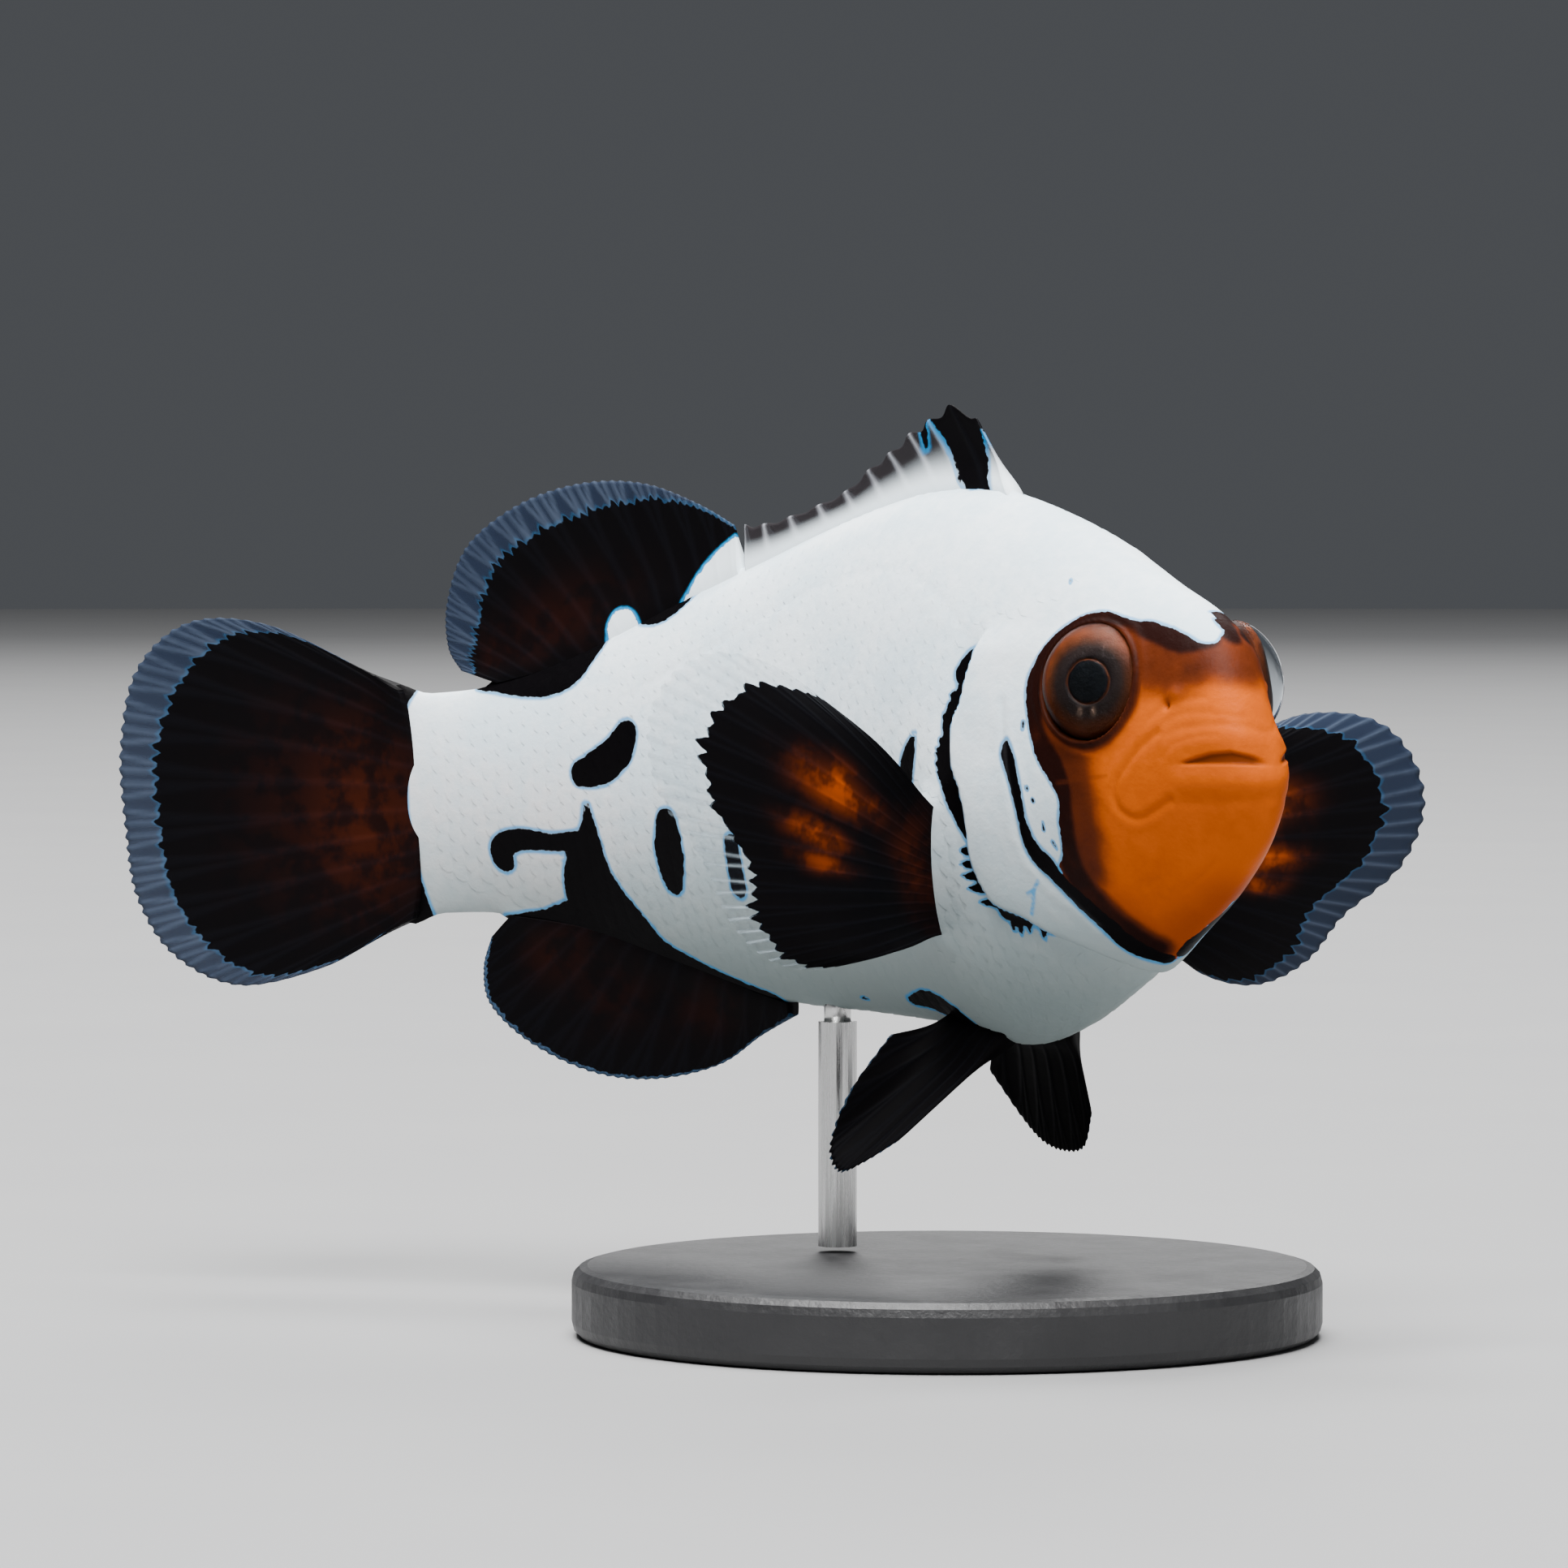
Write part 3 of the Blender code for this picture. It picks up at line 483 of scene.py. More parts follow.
def stroke_distance(at, stroke, side=1.0):
    """Distance in millimetres from points at to the edge of a brush stroke, less than 0 inside it."""
    line = smoothed(stroke)
    spine = on_flank(line) * (1.0, side, 1.0)
    result = np.full(len(at), FAR)
    low, high = spine.min(axis=0) - FAR, spine.max(axis=0) + FAR
    near = np.flatnonzero(((at > low) & (at < high)).all(axis=1))
    result[near] = line_gap(at[near], spine, line[:, 2])
    return result


def line_distance(at, line, side=1.0):
    """Distance to a line on the flank given as stations and heights."""
    return stroke_distance(at, [(*point, 0.0) for point in line], side)


def folded(at):
    """The points with their right side folded over onto the left."""
    return columns(at[:, 0], np.abs(at[:, 1]), at[:, 2])


def ahead_of(at, line):
    """True where a point lies on the snout's side of a line that runs from the back to the belly."""
    corners = np.vstack((smoothed(line)[:, :2], (-9.0, -16.0), (-9.0, 16.0)))
    s, z = at[:, 0], at[:, 2]
    inside = np.zeros(len(at), bool)
    for (s1, z1), (s2, z2) in zip(corners, np.roll(corners, -1, axis=0)):
        crosses = (z1 > z) != (z2 > z)
        inside ^= crosses & (s < (s2 - s1) * (z - z1) / (z2 - z1 + 1e-12) + s1)
    return inside


THIN_STROKE = 0.35  # the widest half width of a mark that has a narrow rim
THIN_RIM = 2.4  # how many times narrower that rim is


def mark_distance(at, stroke, side=1.0):
    """Distance to a black mark's edge, counted faster outside a thin mark so that its rim is narrow."""
    gap = stroke_distance(at, stroke, side)
    thin = max(point[2] for point in stroke) < THIN_STROKE
    return np.where(gap > 0.0, gap * THIN_RIM, gap) if thin else gap


def nearest(at, strokes, side=1.0, measure=mark_distance):
    """Distance to the nearest of the strokes, each measured in the same way."""
    return reduce(np.minimum, (measure(at, stroke, side) for stroke in strokes), np.full(len(at), FAR))


def gill_band_distance(both):
    """Distance to the black teeth and patches behind the gill cover's edge."""
    teeth = [[(s + part * long, z + up, wide) for part, up, wide in TOOTH] for s, z, long in GILL_TEETH]
    drips = [[(s + back, z + up, wide) for back, up, wide in DRIP] for s, z in GILL_DRIPS]
    best = np.minimum(nearest(both, GILL_BAND, 1.0, stroke_distance), nearest(both, teeth + drips))
    near = np.flatnonzero(best < 1.0)
    gap = line_distance(both[near], GILL_EDGE)
    behind = np.where(ahead_of(both[near], GILL_EDGE), gap, -gap)
    best[near] = np.maximum(best[near], behind)
    return best


def black_distance(at):
    """Distance to the nearest black patch of the body, less than 0 inside one."""
    both = folded(at)
    parts = (
        np.interp(at[:, 2], *TAIL_BLACK) - at[:, 0],
        gill_band_distance(both),
        nearest(both, (CHEEK_BAND, *BOTH_SIDES)),
        nearest(both, BLUE_LINES, 1.0, line_distance) + BLUE_LINE_GAP,
        nearest(at, (RIGHT_CHIN, *RIGHT_SIDE), -1.0),
        nearest(at, (*LEFT_CHIN, *LEFT_SIDE)),
    )
    return np.clip(reduce(np.minimum, parts), -FAR, FAR)


def face_distance(at):
    """Distance to the border of the orange face, less than 0 on the face."""
    gap = np.minimum(line_distance(at, RIGHT_BORDER, -1.0), line_distance(at, LEFT_BORDER))
    inside = np.where(at[:, 1] < 0.0, ahead_of(at, RIGHT_BORDER), ahead_of(at, LEFT_BORDER))
    return np.where(inside, -gap, gap)


def dusk_share(at):
    """How dark the face is, from 0 to 1."""
    both = folded(at)
    share = np.zeros(len(at))
    for strokes, depth, fade in DUSK_PARTS:
        gap = np.maximum(nearest(both, strokes, 1.0, stroke_distance), 0.0)
        share = np.maximum(share, hump(gap, depth, fade))
    middle, full, depth, fade = EYE_DUSK
    ring = np.maximum(np.abs(eye_radius_at(both) - middle) - full, 0.0)
    return np.maximum(share, hump(ring, depth, fade))


def eye_axis(gaze=0.0):
    """The left eye's axis, turned forward by gaze degrees more than its rim."""
    axis = Vector((-math.tan(math.radians(EYE_FORWARD + gaze)), 1.0, math.sin(math.radians(EYE_UP))))
    return np.array(axis.normalized())


def eye_radius_at(both):
    """Distance from the left eye's own axis."""
    offset, axis = both - EYE, eye_axis()
    return np.linalg.norm(offset - (offset @ axis)[:, None] * axis, axis=1)


def mouth_relief(both):
    """Lips and the gap between them: height, and the painted shade in the gap and under the upper lip's fold.
    """
    s, y, z = both.T
    bearing = np.degrees(np.arctan2(y, np.maximum(MOUTH_CENTRE - s, 1e-3)))
    lines = (LIP_FOLD, GAP_ARCH, GAP_FLOOR, CHIN_CREASE)
    fold, arch, floor, crease = (np.interp(bearing, MOUTH_BEARINGS, heights) for heights in lines)
    before = s < MOUTH_CENTRE
    gap_share = (1.0 - smooth_step(bearing, *GAP_END)) * before
    shut, *opens = GAP_MIDDLE
    gap_share *= shut + (1.0 - shut) * smooth_step(bearing, *opens)
    lip_share = (1.0 - smooth_step(bearing, *LIP_END)) * before
    gap = smooth_step(arch - z, *GAP_EDGE) * smooth_step(z - floor, *GAP_EDGE) * gap_share
    upper = hump(z - (arch + fold) / 2, *UPPER_LIP) - hump(z - fold, *UPPER_CREASE)
    lower = hump(z - (floor + crease) / 2 - LOWER_LIP_RISE, *LOWER_LIP) - hump(z - crease, *LOWER_CREASE)
    rise = lip_share * (upper + lower) - GAP_DEPTH * gap
    # painted shade in the gap and under the upper lip's fold
    return rise, np.maximum(GAP_SHADE * gap, lip_share * hump(z - fold, *UPPER_FOLD_SHADE))


def relief(at):
    """Height of the skin's features over the plain body, and how much painted shade each point takes in a
    crease.
    """
    both = folded(at)
    s, z = both[:, 0], both[:, 2]
    rise, crease = mouth_relief(both)
    rise -= SKIN_DEPTH

    ring = eye_radius_at(both)
    facing = smooth_step((both - EYE) @ eye_axis(), *EYE_FACING)
    rise += facing * sum(hump(ring - middle, *ridge) for middle, *ridge in EYE_RINGS)
    rise -= facing * SOCKET_DEPTH * (1.0 - smooth_step(ring, *SOCKET_EDGE))
    # painted shade at the lid's edge
    crease = np.maximum(crease, facing * hump(ring - LID_EDGE, *LID_SHADE))

    nostril = np.hypot(s - NOSTRIL[0], z - NOSTRIL[1])
    pit = np.hypot((s - NOSTRIL_PIT[0]) * PIT_SHAPE[0], (z - NOSTRIL_PIT[1]) * PIT_SHAPE[1])
    rise += hump(nostril, *NOSTRIL_RIM) - hump(pit, *PIT_SINK)
    # painted shade in the nostril's pit
    crease = np.maximum(crease, hump(pit, *PIT_SHADE))

    for line, depth, width in FOLDS:  # each with a low swelling on both sides
        gap = line_distance(both, line)
        rise += hump(gap - 2.4 * width, 0.4 * depth, 1.5 * width) - hump(gap, depth, width)
        # painted shade along the fold
        crease = np.maximum(crease, hump(gap, 2.5 * depth, 0.6 * width))
    rise -= hump(line_distance(both, LATERAL_LINE), *LATERAL_GROOVE)

    gap = line_distance(both, GILL_EDGE)
    signed = np.where(ahead_of(both, GILL_EDGE), -gap, gap)
    shown = smooth_step(z, *COVER_TOP)
    cover = smooth_step(-signed, -0.05, 0.1) * hump(np.maximum(-signed, 0.0), *COVER_BULGE)
    behind = hump(np.maximum(signed, 0.0), *COVER_STEP) * (signed > 0)
    rise += shown * (cover - behind)
    # painted shade under the gill cover's edge
    crease = np.maximum(crease, shown * hump(signed - 0.08, *COVER_SHADE))

    share = np.linspace(0.0, 1.0, 3)[:, None]
    lobe_line = np.array(PECTORAL_TOP) + (np.array(PECTORAL_FOOT) - PECTORAL_TOP) * share
    rise += hump(line_distance(both, lobe_line), *FIN_LOBE)
    crest, sole = smooth_step(s, *CREST_FROM) * (z > 0), smooth_step(s, *SOLE_FROM) * (z < 0)
    rise += (crest + sole) * smooth_step(s, *FIN_BASE_TO) * hump(both[:, 1], *FIN_BASE)
    return rise, crease


# ---- scene tools


def sizes():
    return bpy.context.scene.clownfish


def colour(name):
    return (*getattr(sizes(), name), 1.0)


def object_from(bm, name, look, numbers=None, smooth=True):
    """A finished object from a bmesh whose points are in place, with per-point numbers for its look."""
    mesh = bpy.data.meshes.new(name)
    bm.to_mesh(mesh)
    bm.free()
    mesh.materials.append(look)
    if smooth:
        mesh.shade_smooth()
    for key, values in (numbers or {}).items():
        layer = mesh.attributes.new(key, "FLOAT", "POINT")
        layer.data.foreach_set("value", np.asarray(values, np.float32))
    thing = bpy.data.objects.new(name, mesh)
    bpy.context.scene.collection.objects.link(thing)
    return thing


def belongs(thing, slot, *nodes):
    """The piece rides on the model and stands for the nodes; slot is not used."""
    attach(thing, "root")
    if nodes:
        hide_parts(*nodes)


def coordinates(bm):
    return np.array([vert.co[:] for vert in bm.verts])


def settle(bm, straight, carrier=None):
    """Poses a closed mesh by its points' places on the straight fish, and turns its faces outward."""
    for vert, point in zip(bm.verts, posed(straight, carrier)):
        vert.co = point
    bmesh.ops.recalc_face_normals(bm, faces=bm.faces)
    if bm.calc_volume(signed=True) < 0:
        bmesh.ops.reverse_faces(bm, faces=bm.faces)


def shift_double(bm, doubled, height):
    """Moves the new points of a doubled sheet up by height."""
    moved = [part for part in doubled["geom"] if isinstance(part, bmesh.types.BMVert)]
    bmesh.ops.translate(bm, verts=moved, vec=(0.0, 0.0, height))


# ---- looks


class Nodes:
    """Short ways to add and join the nodes of one tree."""

    def __init__(self, tree):
        self.tree = tree

    def feed(self, socket, value):
        if isinstance(value, bpy.types.NodeSocket):
            self.tree.links.new(value, socket)
        else:
            socket.default_value = value

    def add(self, kind, settings=None, **inputs):
        """A node; inputs are its sockets' names, with _ for a space."""
        node = self.tree.nodes.new(kind)
        for key, value in (settings or {}).items():
            setattr(node, key, value)
        for key, value in inputs.items():
            self.feed(node.inputs[key.replace("_", " ")], value)
        return node

    def math(self, operation, *values):
        node = self.add("ShaderNodeMath", {"operation": operation})
        for socket, value in zip(node.inputs, values):
            self.feed(socket, value)
        return node.outputs[0]

    def times(self, first, second):
        return self.math("MULTIPLY", first, second)

    def inverse(self, share):
        return self.math("SUBTRACT", 1.0, share)

    def span(self, value, low, high, start=0.0, end=1.0):
        """value carried smoothly from low..high to start..end."""
        ends = {"From_Min": low, "From_Max": high, "To_Min": start, "To_Max": end}
        node = self.add("ShaderNodeMapRange", {"interpolation_type": "SMOOTHSTEP"}, Value=value, **ends)
        return node.outputs["Result"]

    def mix(self, share, first, second, blend="MIX"):
        node = self.add("ShaderNodeMix", {"data_type": "RGBA", "blend_type": blend})
        for number, value in ((0, share), (6, first), (7, second)):
            self.feed(node.inputs[number], value)
        return node.outputs[2]

    def layers(self, base, *layers):
        """base with layers over it in turn, each a mask and its colour."""
        return reduce(lambda under, layer: self.mix(layer[0], under, layer[1]), layers, base)

    def attribute(self, name):
        return self.add("ShaderNodeAttribute", {"attribute_name": name}).outputs["Fac"]

    def noise(self, where, scale, detail=3.0, rough=0.5):
        node = self.add("ShaderNodeTexNoise", Vector=where, Scale=scale, Detail=detail, Roughness=rough)
        return node.outputs["Fac"]


def shared_group(name, takes, gives, fill):
    """A node group, made once: a vector and the numbers in takes go in, and what fill returns comes out."""
    group = bpy.data.node_groups.get(name)
    if group:
        return group
    group = bpy.data.node_groups.new(name, "ShaderNodeTree")
    group.interface.new_socket("Vector", in_out="INPUT", socket_type="NodeSocketVector")
    for key in takes:
        group.interface.new_socket(key, in_out="INPUT", socket_type="NodeSocketFloat")
    for key in gives:
        group.interface.new_socket(key, in_out="OUTPUT", socket_type="NodeSocketFloat")
    tools = Nodes(group)
    start, end = tools.add("NodeGroupInput").outputs, tools.add("NodeGroupOutput").inputs
    for key, result in zip(gives, fill(tools, start["Vector"], *(start[key] for key in takes))):
        tools.feed(end[key], result)
    return group


def ragged_patch(tools, where, distance, ragged, rim):
    """A distance turned into a ragged patch and the thin rim round it."""
    fine, broad = tools.noise(where, 2600.0, 2.0), tools.noise(where, 700.0, 2.0)
    wobble = tools.math("ADD", tools.math("SUBTRACT", fine, 0.5), tools.math("SUBTRACT", broad, 0.5))
    moved = tools.math("MULTIPLY_ADD", wobble, ragged, distance)
    patch = tools.span(moved, 0.03, -0.03)
    reach = tools.math("ADD", rim, tools.times(wobble, rim))
    outer = tools.span(moved, reach, tools.times(reach, 0.25))
    return patch, tools.times(outer, tools.inverse(patch))


def skin_grain(tools, where, size):
    """Fine uneven tone and height, as of skin under a thin wet film."""
    fine = tools.noise(where, size, 4.0, 0.6)
    broad = tools.noise(where, tools.times(size, 0.12), 2.0, 0.5)
    return tools.math("MULTIPLY_ADD", broad, 0.65, tools.times(fine, 0.35)), fine


class Look(Nodes):
    """A new material with its Principled shader and its Object coordinates."""

    def __init__(self, name):
        self.material = bpy.data.materials.new(name)
        self.material.use_nodes = True
        super().__init__(self.material.node_tree)
        self.shader = self.tree.nodes["Principled BSDF"]
        self.where = self.add("ShaderNodeTexCoord").outputs["Object"]

    def wear(self, **values):
        """Feeds the shader's own sockets."""
        for key, value in values.items():
            self.feed(self.shader.inputs[key.replace("_", " ")], value)

    def bump(self, height, distance):
        node = self.add("ShaderNodeBump", Height=height, Distance=distance, Strength=1.0)
        self.wear(Normal=node.outputs["Normal"])

    def group(self, tree, **inputs):
        node = self.add("ShaderNodeGroup", {"node_tree": tree}, Vector=self.where, **inputs)
        return node.outputs

    def patch(self, name, ragged, rim):
        """Masks of the patch and the rim that the attribute's distance gives."""
        tree = shared_group("ragged_patch", ("Distance", "Ragged", "Rim"), ("Patch", "Rim"), ragged_patch)
        return self.group(tree, Distance=self.attribute(name), Ragged=ragged, Rim=rim)

    def grain(self, size):
        """Tone and height of the fine grain."""
        return self.group(shared_group("skin_grain", ("Size",), ("Tone", "Height"), skin_grain), Size=size)

    def plain(self, tone, tints, rough, height, distance, **values):
        """A finish whose colour, roughness and height follow one tone."""
        self.wear(Base_Color=self.mix(tone, *tints), Roughness=self.span(tone, 0.3, 0.7, *rough), **values)
        self.bump(height, distance)
        return self.material


# Painted shade laid into creases, folds, the mouth's gap, the nostril's pit and under the gill cover's edge,
# on the white and on the face.
WHITE_CREASE_SHADE, FACE_CREASE_SHADE = (0.12, 0.12, 0.13, 1.0), (0.085, 0.016, 0.002, 1.0)


def skin_look():
    """White body, orange face with its dusk, black patches with blue rims, and painted shade towards the
    belly, over the chin and in the creases. The scales wear it too.
    """
    found = bpy.data.materials.get("clownfish_skin")
    if found:
        return found
    look = Look("clownfish_skin")
    tone, fine = look.grain(1500.0)
    height = look.add("ShaderNodeSeparateXYZ", Vector=look.where).outputs["Z"]

    white = look.layers(
        colour("white_shade"),
        (look.span(tone, 0.35, 0.65), colour("white")),
        # painted shade: the body white darkens towards the belly, as in the shade under a top light
        (look.times(look.span(height, 0.032, 0.017), 0.9), colour("belly_painted_shade")),
        (look.times(look.attribute("stalk"), look.span(tone, 0.3, 0.7, 0.15, 0.5)), colour("white_warm")),
    )
    inward = look.times(look.attribute("face"), -1.0)
    shade = look.math("SUBTRACT", look.noise(look.where, 480.0, 4.0), 0.5)
    dusk = look.math("MULTIPLY_ADD", shade, 0.55, look.attribute("dusk"))
    orange = look.layers(
        colour("deep_orange_and_shade"),
        (look.span(inward, 0.4, 3.2), colour("orange")),
        (look.span(tone, 0.42, 0.62, 0.0, 0.3), colour("deep_orange_and_shade")),
        # painted shade: the face darkens towards the chin, as the body white does towards the belly
        (look.span(height, 0.0225, 0.0175, 0.0, 0.75), colour("deep_orange_and_shade")),
        (look.span(dusk, 0.1, 0.6), colour("dusk_light")),
        (look.span(dusk, 0.5, 0.95), colour("dusk")),
        (look.times(look.attribute("suture"), 0.35), colour("dusk_light")),
    )
    face, face_rim = look.patch("face", 0.22, 0.22)
    black, black_rim = look.patch("black", 0.2, 0.26)
    base = look.layers(
        white,
        (face, orange),
        (look.times(face_rim, 0.75), colour("rim_blue")),
        (look.times(black_rim, look.times(look.inverse(face), 0.8)), colour("rim_blue")),
        (black, colour("black")),
        # painted shade in the creases
        (look.attribute("crease"), look.mix(face, WHITE_CREASE_SHADE, FACE_CREASE_SHADE)),
    )
    look.wear(Base_Color=base, Roughness=look.span(tone, 0.3, 0.7, 0.42, 0.54), Specular_IOR_Level=SKIN_GLOSS)
    look.bump(fine, 0.00004)
    return look.material


BLACK_RAY = (0.004, 0.0045, 0.007, 1.0)


def fin_look(name, clear, tint, ray_tint, root_tint=None, rim=0.1, ray_solid=0.6):
    """A fin: black inside, a see-through margin, brown light in the middle, all streaked by its rays."""
    look = Look(name)
    ray, reach = look.attribute("ray"), look.attribute("reach")
    black, black_rim = look.patch("black", 0.35, 0.3)
    pale, pale_rim = look.patch("pale", 0.3, 0.26)
    tone, _ = look.grain(1300.0)
    lit = look.times(ray, look.span(tone, 0.3, 0.6, 0.5, 1.0))
    margin = look.mix(look.span(reach, 0.12, 0.72), root_tint or tint, look.mix(lit, tint, ray_tint))
    margin = look.mix(look.times(black_rim, rim), margin, colour("rim_blue"))
    spots = look.span(look.noise(look.where, 620.0, 3.0, 0.6), 0.38, 0.6, 0.25, 1.0)
    dark = look.layers(
        colour("black"),
        (look.times(ray, 0.3), BLACK_RAY),
        (look.times(look.attribute("glow"), spots), colour("glow")),
    )
    base = look.layers(
        margin,
        (black, dark),
        (look.times(pale_rim, 0.8), colour("rim_blue")),
        (pale, colour("white")),
    )
    thin = look.times(look.inverse(look.math("MAXIMUM", black, pale)), clear)
    thin = look.times(thin, look.math("MULTIPLY_ADD", ray, -ray_solid, 1.0))
    thin = look.times(thin, look.span(reach, 0.1, 0.7))
    look.wear(Base_Color=base, Alpha=look.inverse(thin), Specular_IOR_Level=SKIN_GLOSS)
    look.wear(Roughness=look.span(tone, 0.3, 0.7, 0.5, 0.62))
    look.bump(look.math("ADD", ray, look.times(tone, 0.4)), 0.00001)
    return look.material


# Colours from the pupil's middle out to the eye's edge, by the share of its radius.
IRIS = (
    (0.0, (0.0010, 0.0014, 0.0018)), (0.335, (0.0012, 0.0015, 0.002)), (0.352, (0.045, 0.010, 0.002)),
    (0.385, (0.0065, 0.0045, 0.0045)), (0.56, (0.009, 0.0052, 0.0042)), (0.66, (0.030, 0.0078, 0.0024)),
    (0.80, (0.068, 0.0135, 0.0025)), (0.90, (0.032, 0.0075, 0.0028)), (0.97, (0.008, 0.003, 0.0025)),
)


def eye_look():
    """Iris and pupil by distance from the eye's axis, with painted light that brightens the iris towards its
    top.
    """
    look = Look("eye_ball")
    speckle = look.noise(look.where, 2400.0, 4.0, 0.65)
    uneven_edge = look.times(look.math("SUBTRACT", speckle, 0.5), 0.3)
    moved = look.math("ADD", look.attribute("rho"), uneven_edge)
    ramp = look.add("ShaderNodeValToRGB", Fac=look.math("DIVIDE", moved, EYE_RADIUS))
    stops = ramp.color_ramp.elements
    while len(stops) < len(IRIS):
        stops.new(0.5)
    for stop, (position, tint) in zip(stops, IRIS):
        stop.position = position
        stop.color = (*tint, 1.0)
    # painted light: the iris lighter towards its top, as under a top light, with uneven tone
    above = look.span(look.attribute("rise"), -2.4, 2.4, 0.5, 0.95)
    light = look.times(look.span(look.noise(look.where, 500.0, 2.0), 0.3, 0.7, 0.6, 1.3), above)
    base = look.mix(1.0, ramp.outputs["Color"], light, "MULTIPLY")
    base = look.mix(look.attribute("streak"), base, (0.05, 0.03, 0.02, 1.0))
    look.wear(Base_Color=base, Roughness=0.45, Specular_IOR_Level=0.05)
    look.bump(speckle, 0.00004)
    return look.material


def cornea_look():
    look = Look("cornea")
    look.wear(Base_Color=(0.93, 0.97, 1.0, 1.0), Roughness=0.02, Transmission_Weight=1.0, IOR=1.02)
    return look.material


# ---- skin and scales

FLESH = ("head", "lower_jaw", "gill_cover_left", "gill_cover_right", "trunk", "tail_stalk")
SKIN_AROUND, SKIN_RINGS = 320, 290
FLANK_FINE = 0.2  # how far the points crowd towards the flanks
# Distance between the rings over the head, how much more it is behind the head, and where that changes.
RING_APART, RING_WIDER, RING_CHANGE = 0.1, 0.22, (17.0, 27.0)


def body_numbers(straight, crease=None):
    """The values that the skin's look reads, at points of the straight fish."""
    return {
        "black": black_distance(straight),
        "face": face_distance(straight),
        "dusk": dusk_share(straight),
        "suture": bell(np.maximum(stroke_distance(folded(straight), SUTURE), 0.0), SUTURE_FADE),
        "stalk": smooth_step(straight[:, 0], *STALK_FROM) * bell(straight[:, 2] - STALK_MIDDLE, STALK_HALF),
        # crease: painted shade in creases, folds and the mouth's gap
        "crease": np.zeros(len(straight)) if crease is None else crease,
    }


def ring_rows(count):
    """Row numbers for the skin's rings, close together over the head."""
    s, back, _, _ = section(ROW_TABLE)
    steps = np.hypot(np.diff(s), np.diff(back)) / (RING_APART + RING_WIDER * smooth_step(s[1:], *RING_CHANGE))
    run = running(steps)
    return np.interp(np.linspace(0.0, run[-1], count + 1), run, ROW_TABLE)


class CLOWNFISH_OT_skin(bpy.types.Operator):
    """One skin over head, gill covers, jaw, trunk and tail stalk, with the mouth, nostrils and gill edges"""

    bl_idname = "clownfish.skin"
    bl_label = "Skin"

    def execute(self, context):
        bm = bmesh.new()
        bmesh.ops.create_uvsphere(bm, u_segments=SKIN_AROUND, v_segments=SKIN_RINGS, radius=1.0)
        ball = coordinates(bm)
        ring = np.arccos(np.clip(ball[:, 2], -1.0, 1.0)) / math.pi * SKIN_RINGS
        row = np.interp(ring, np.arange(SKIN_RINGS + 1), ring_rows(SKIN_RINGS))
        turn = np.arctan2(ball[:, 1], ball[:, 0])
        angle = turn + FLANK_FINE * np.sin(2 * turn)
        straight = skin_points(row, angle)
        rise, crease = relief(straight)
        settle(bm, uneven(straight + skin_normals(row, angle) * rise[:, None]))
        skin = object_from(bm, "skin", skin_look(), body_numbers(straight, crease))
        belongs(skin, "body_skin", *FLESH)
        return {"FINISHED"}


SCALE_PITCH = (0.82, 1.02)  # along the body and round it
SCALE_SIZE = (1.35, 1.2)
SCALE_THICK = 0.014
SCALE_SINK = 0.09  # how deep its root lies in the skin
SCALE_ROUND, SCALE_NARROW = 0.32, 0.25  # how much its free corners are rounded off, and its root drawn in
SCALE_AHEAD = 0.45  # share of its length that lies before its place
SCALE_PARTS = 4  # faces along each side
SCALE_APART = 3.0  # between the flat plates before they are laid
GIRTH_POINTS = 721  # for measuring round the body
SCALE_FROM, SCALE_TO = 12.5, 60.4
SCALE_PATCH = 0.003  # size of one scale on the baking map
MAP_EDGE, MAP_WIDE = 0.02, 0.95
# The front edge of the scales over the nape: its height at a station, slope and foremost station.
NAPE_HEIGHT, NAPE_STATION, NAPE_SLOPE, NAPE_FROM = 8.6, 15.0, 0.25, 13.0
# Widths left bare behind the gill cover, beside the middle fins and round the pectoral fin's root.
BARE_EDGE, BARE_MIDDLE, BARE_LOBE = 1.0, 0.9, 1.3
BACK_FIN_FROM, BELLY_FIN_FROM = 20.0, 39.0
RIM_ANGLE = math.radians(45.0)  # edges sharper than this are left unsmoothed


def scale_roots():
    """Row and angle of every scale's middle, in staggered columns from the nape to the tail."""
    roots = []
    stations = np.arange(SCALE_FROM, SCALE_TO, SCALE_PITCH[0])
    turns = np.linspace(-math.pi, math.pi, GIRTH_POINTS)
    for column, station in enumerate(stations):
        row = float(row_of(station))
        rim = skin_points(np.full(len(turns), row), turns)
        run = running(np.linalg.norm(np.diff(rim, axis=0), axis=1))
        count = int(run[-1] / SCALE_PITCH[1])
        offsets = (np.arange(count) + 0.5 * (column % 2)) / count * run[-1]
        roots.extend((row, angle) for angle in np.interp(offsets, run, turns))
    return np.array(roots)


def scale_cover(at):
    """True where scales grow: behind the gill cover, over the nape, clear of the fins' roots."""
    both = folded(at)
    s, y, z = both.T
    nape = (z > NAPE_HEIGHT + NAPE_SLOPE * (NAPE_STATION - s)) & (s > NAPE_FROM)
    behind = ~ahead_of(both, GILL_EDGE) & (line_distance(both, GILL_EDGE) > BARE_EDGE)
    fin = (y < BARE_MIDDLE) & (((s > BACK_FIN_FROM) & (z > 0)) | ((s > BELLY_FIN_FROM) & (z < 0)))
    lobe = line_distance(both, (PECTORAL_TOP, PECTORAL_FOOT)) < BARE_LOBE
    return (nape | behind) & ~fin & ~lobe


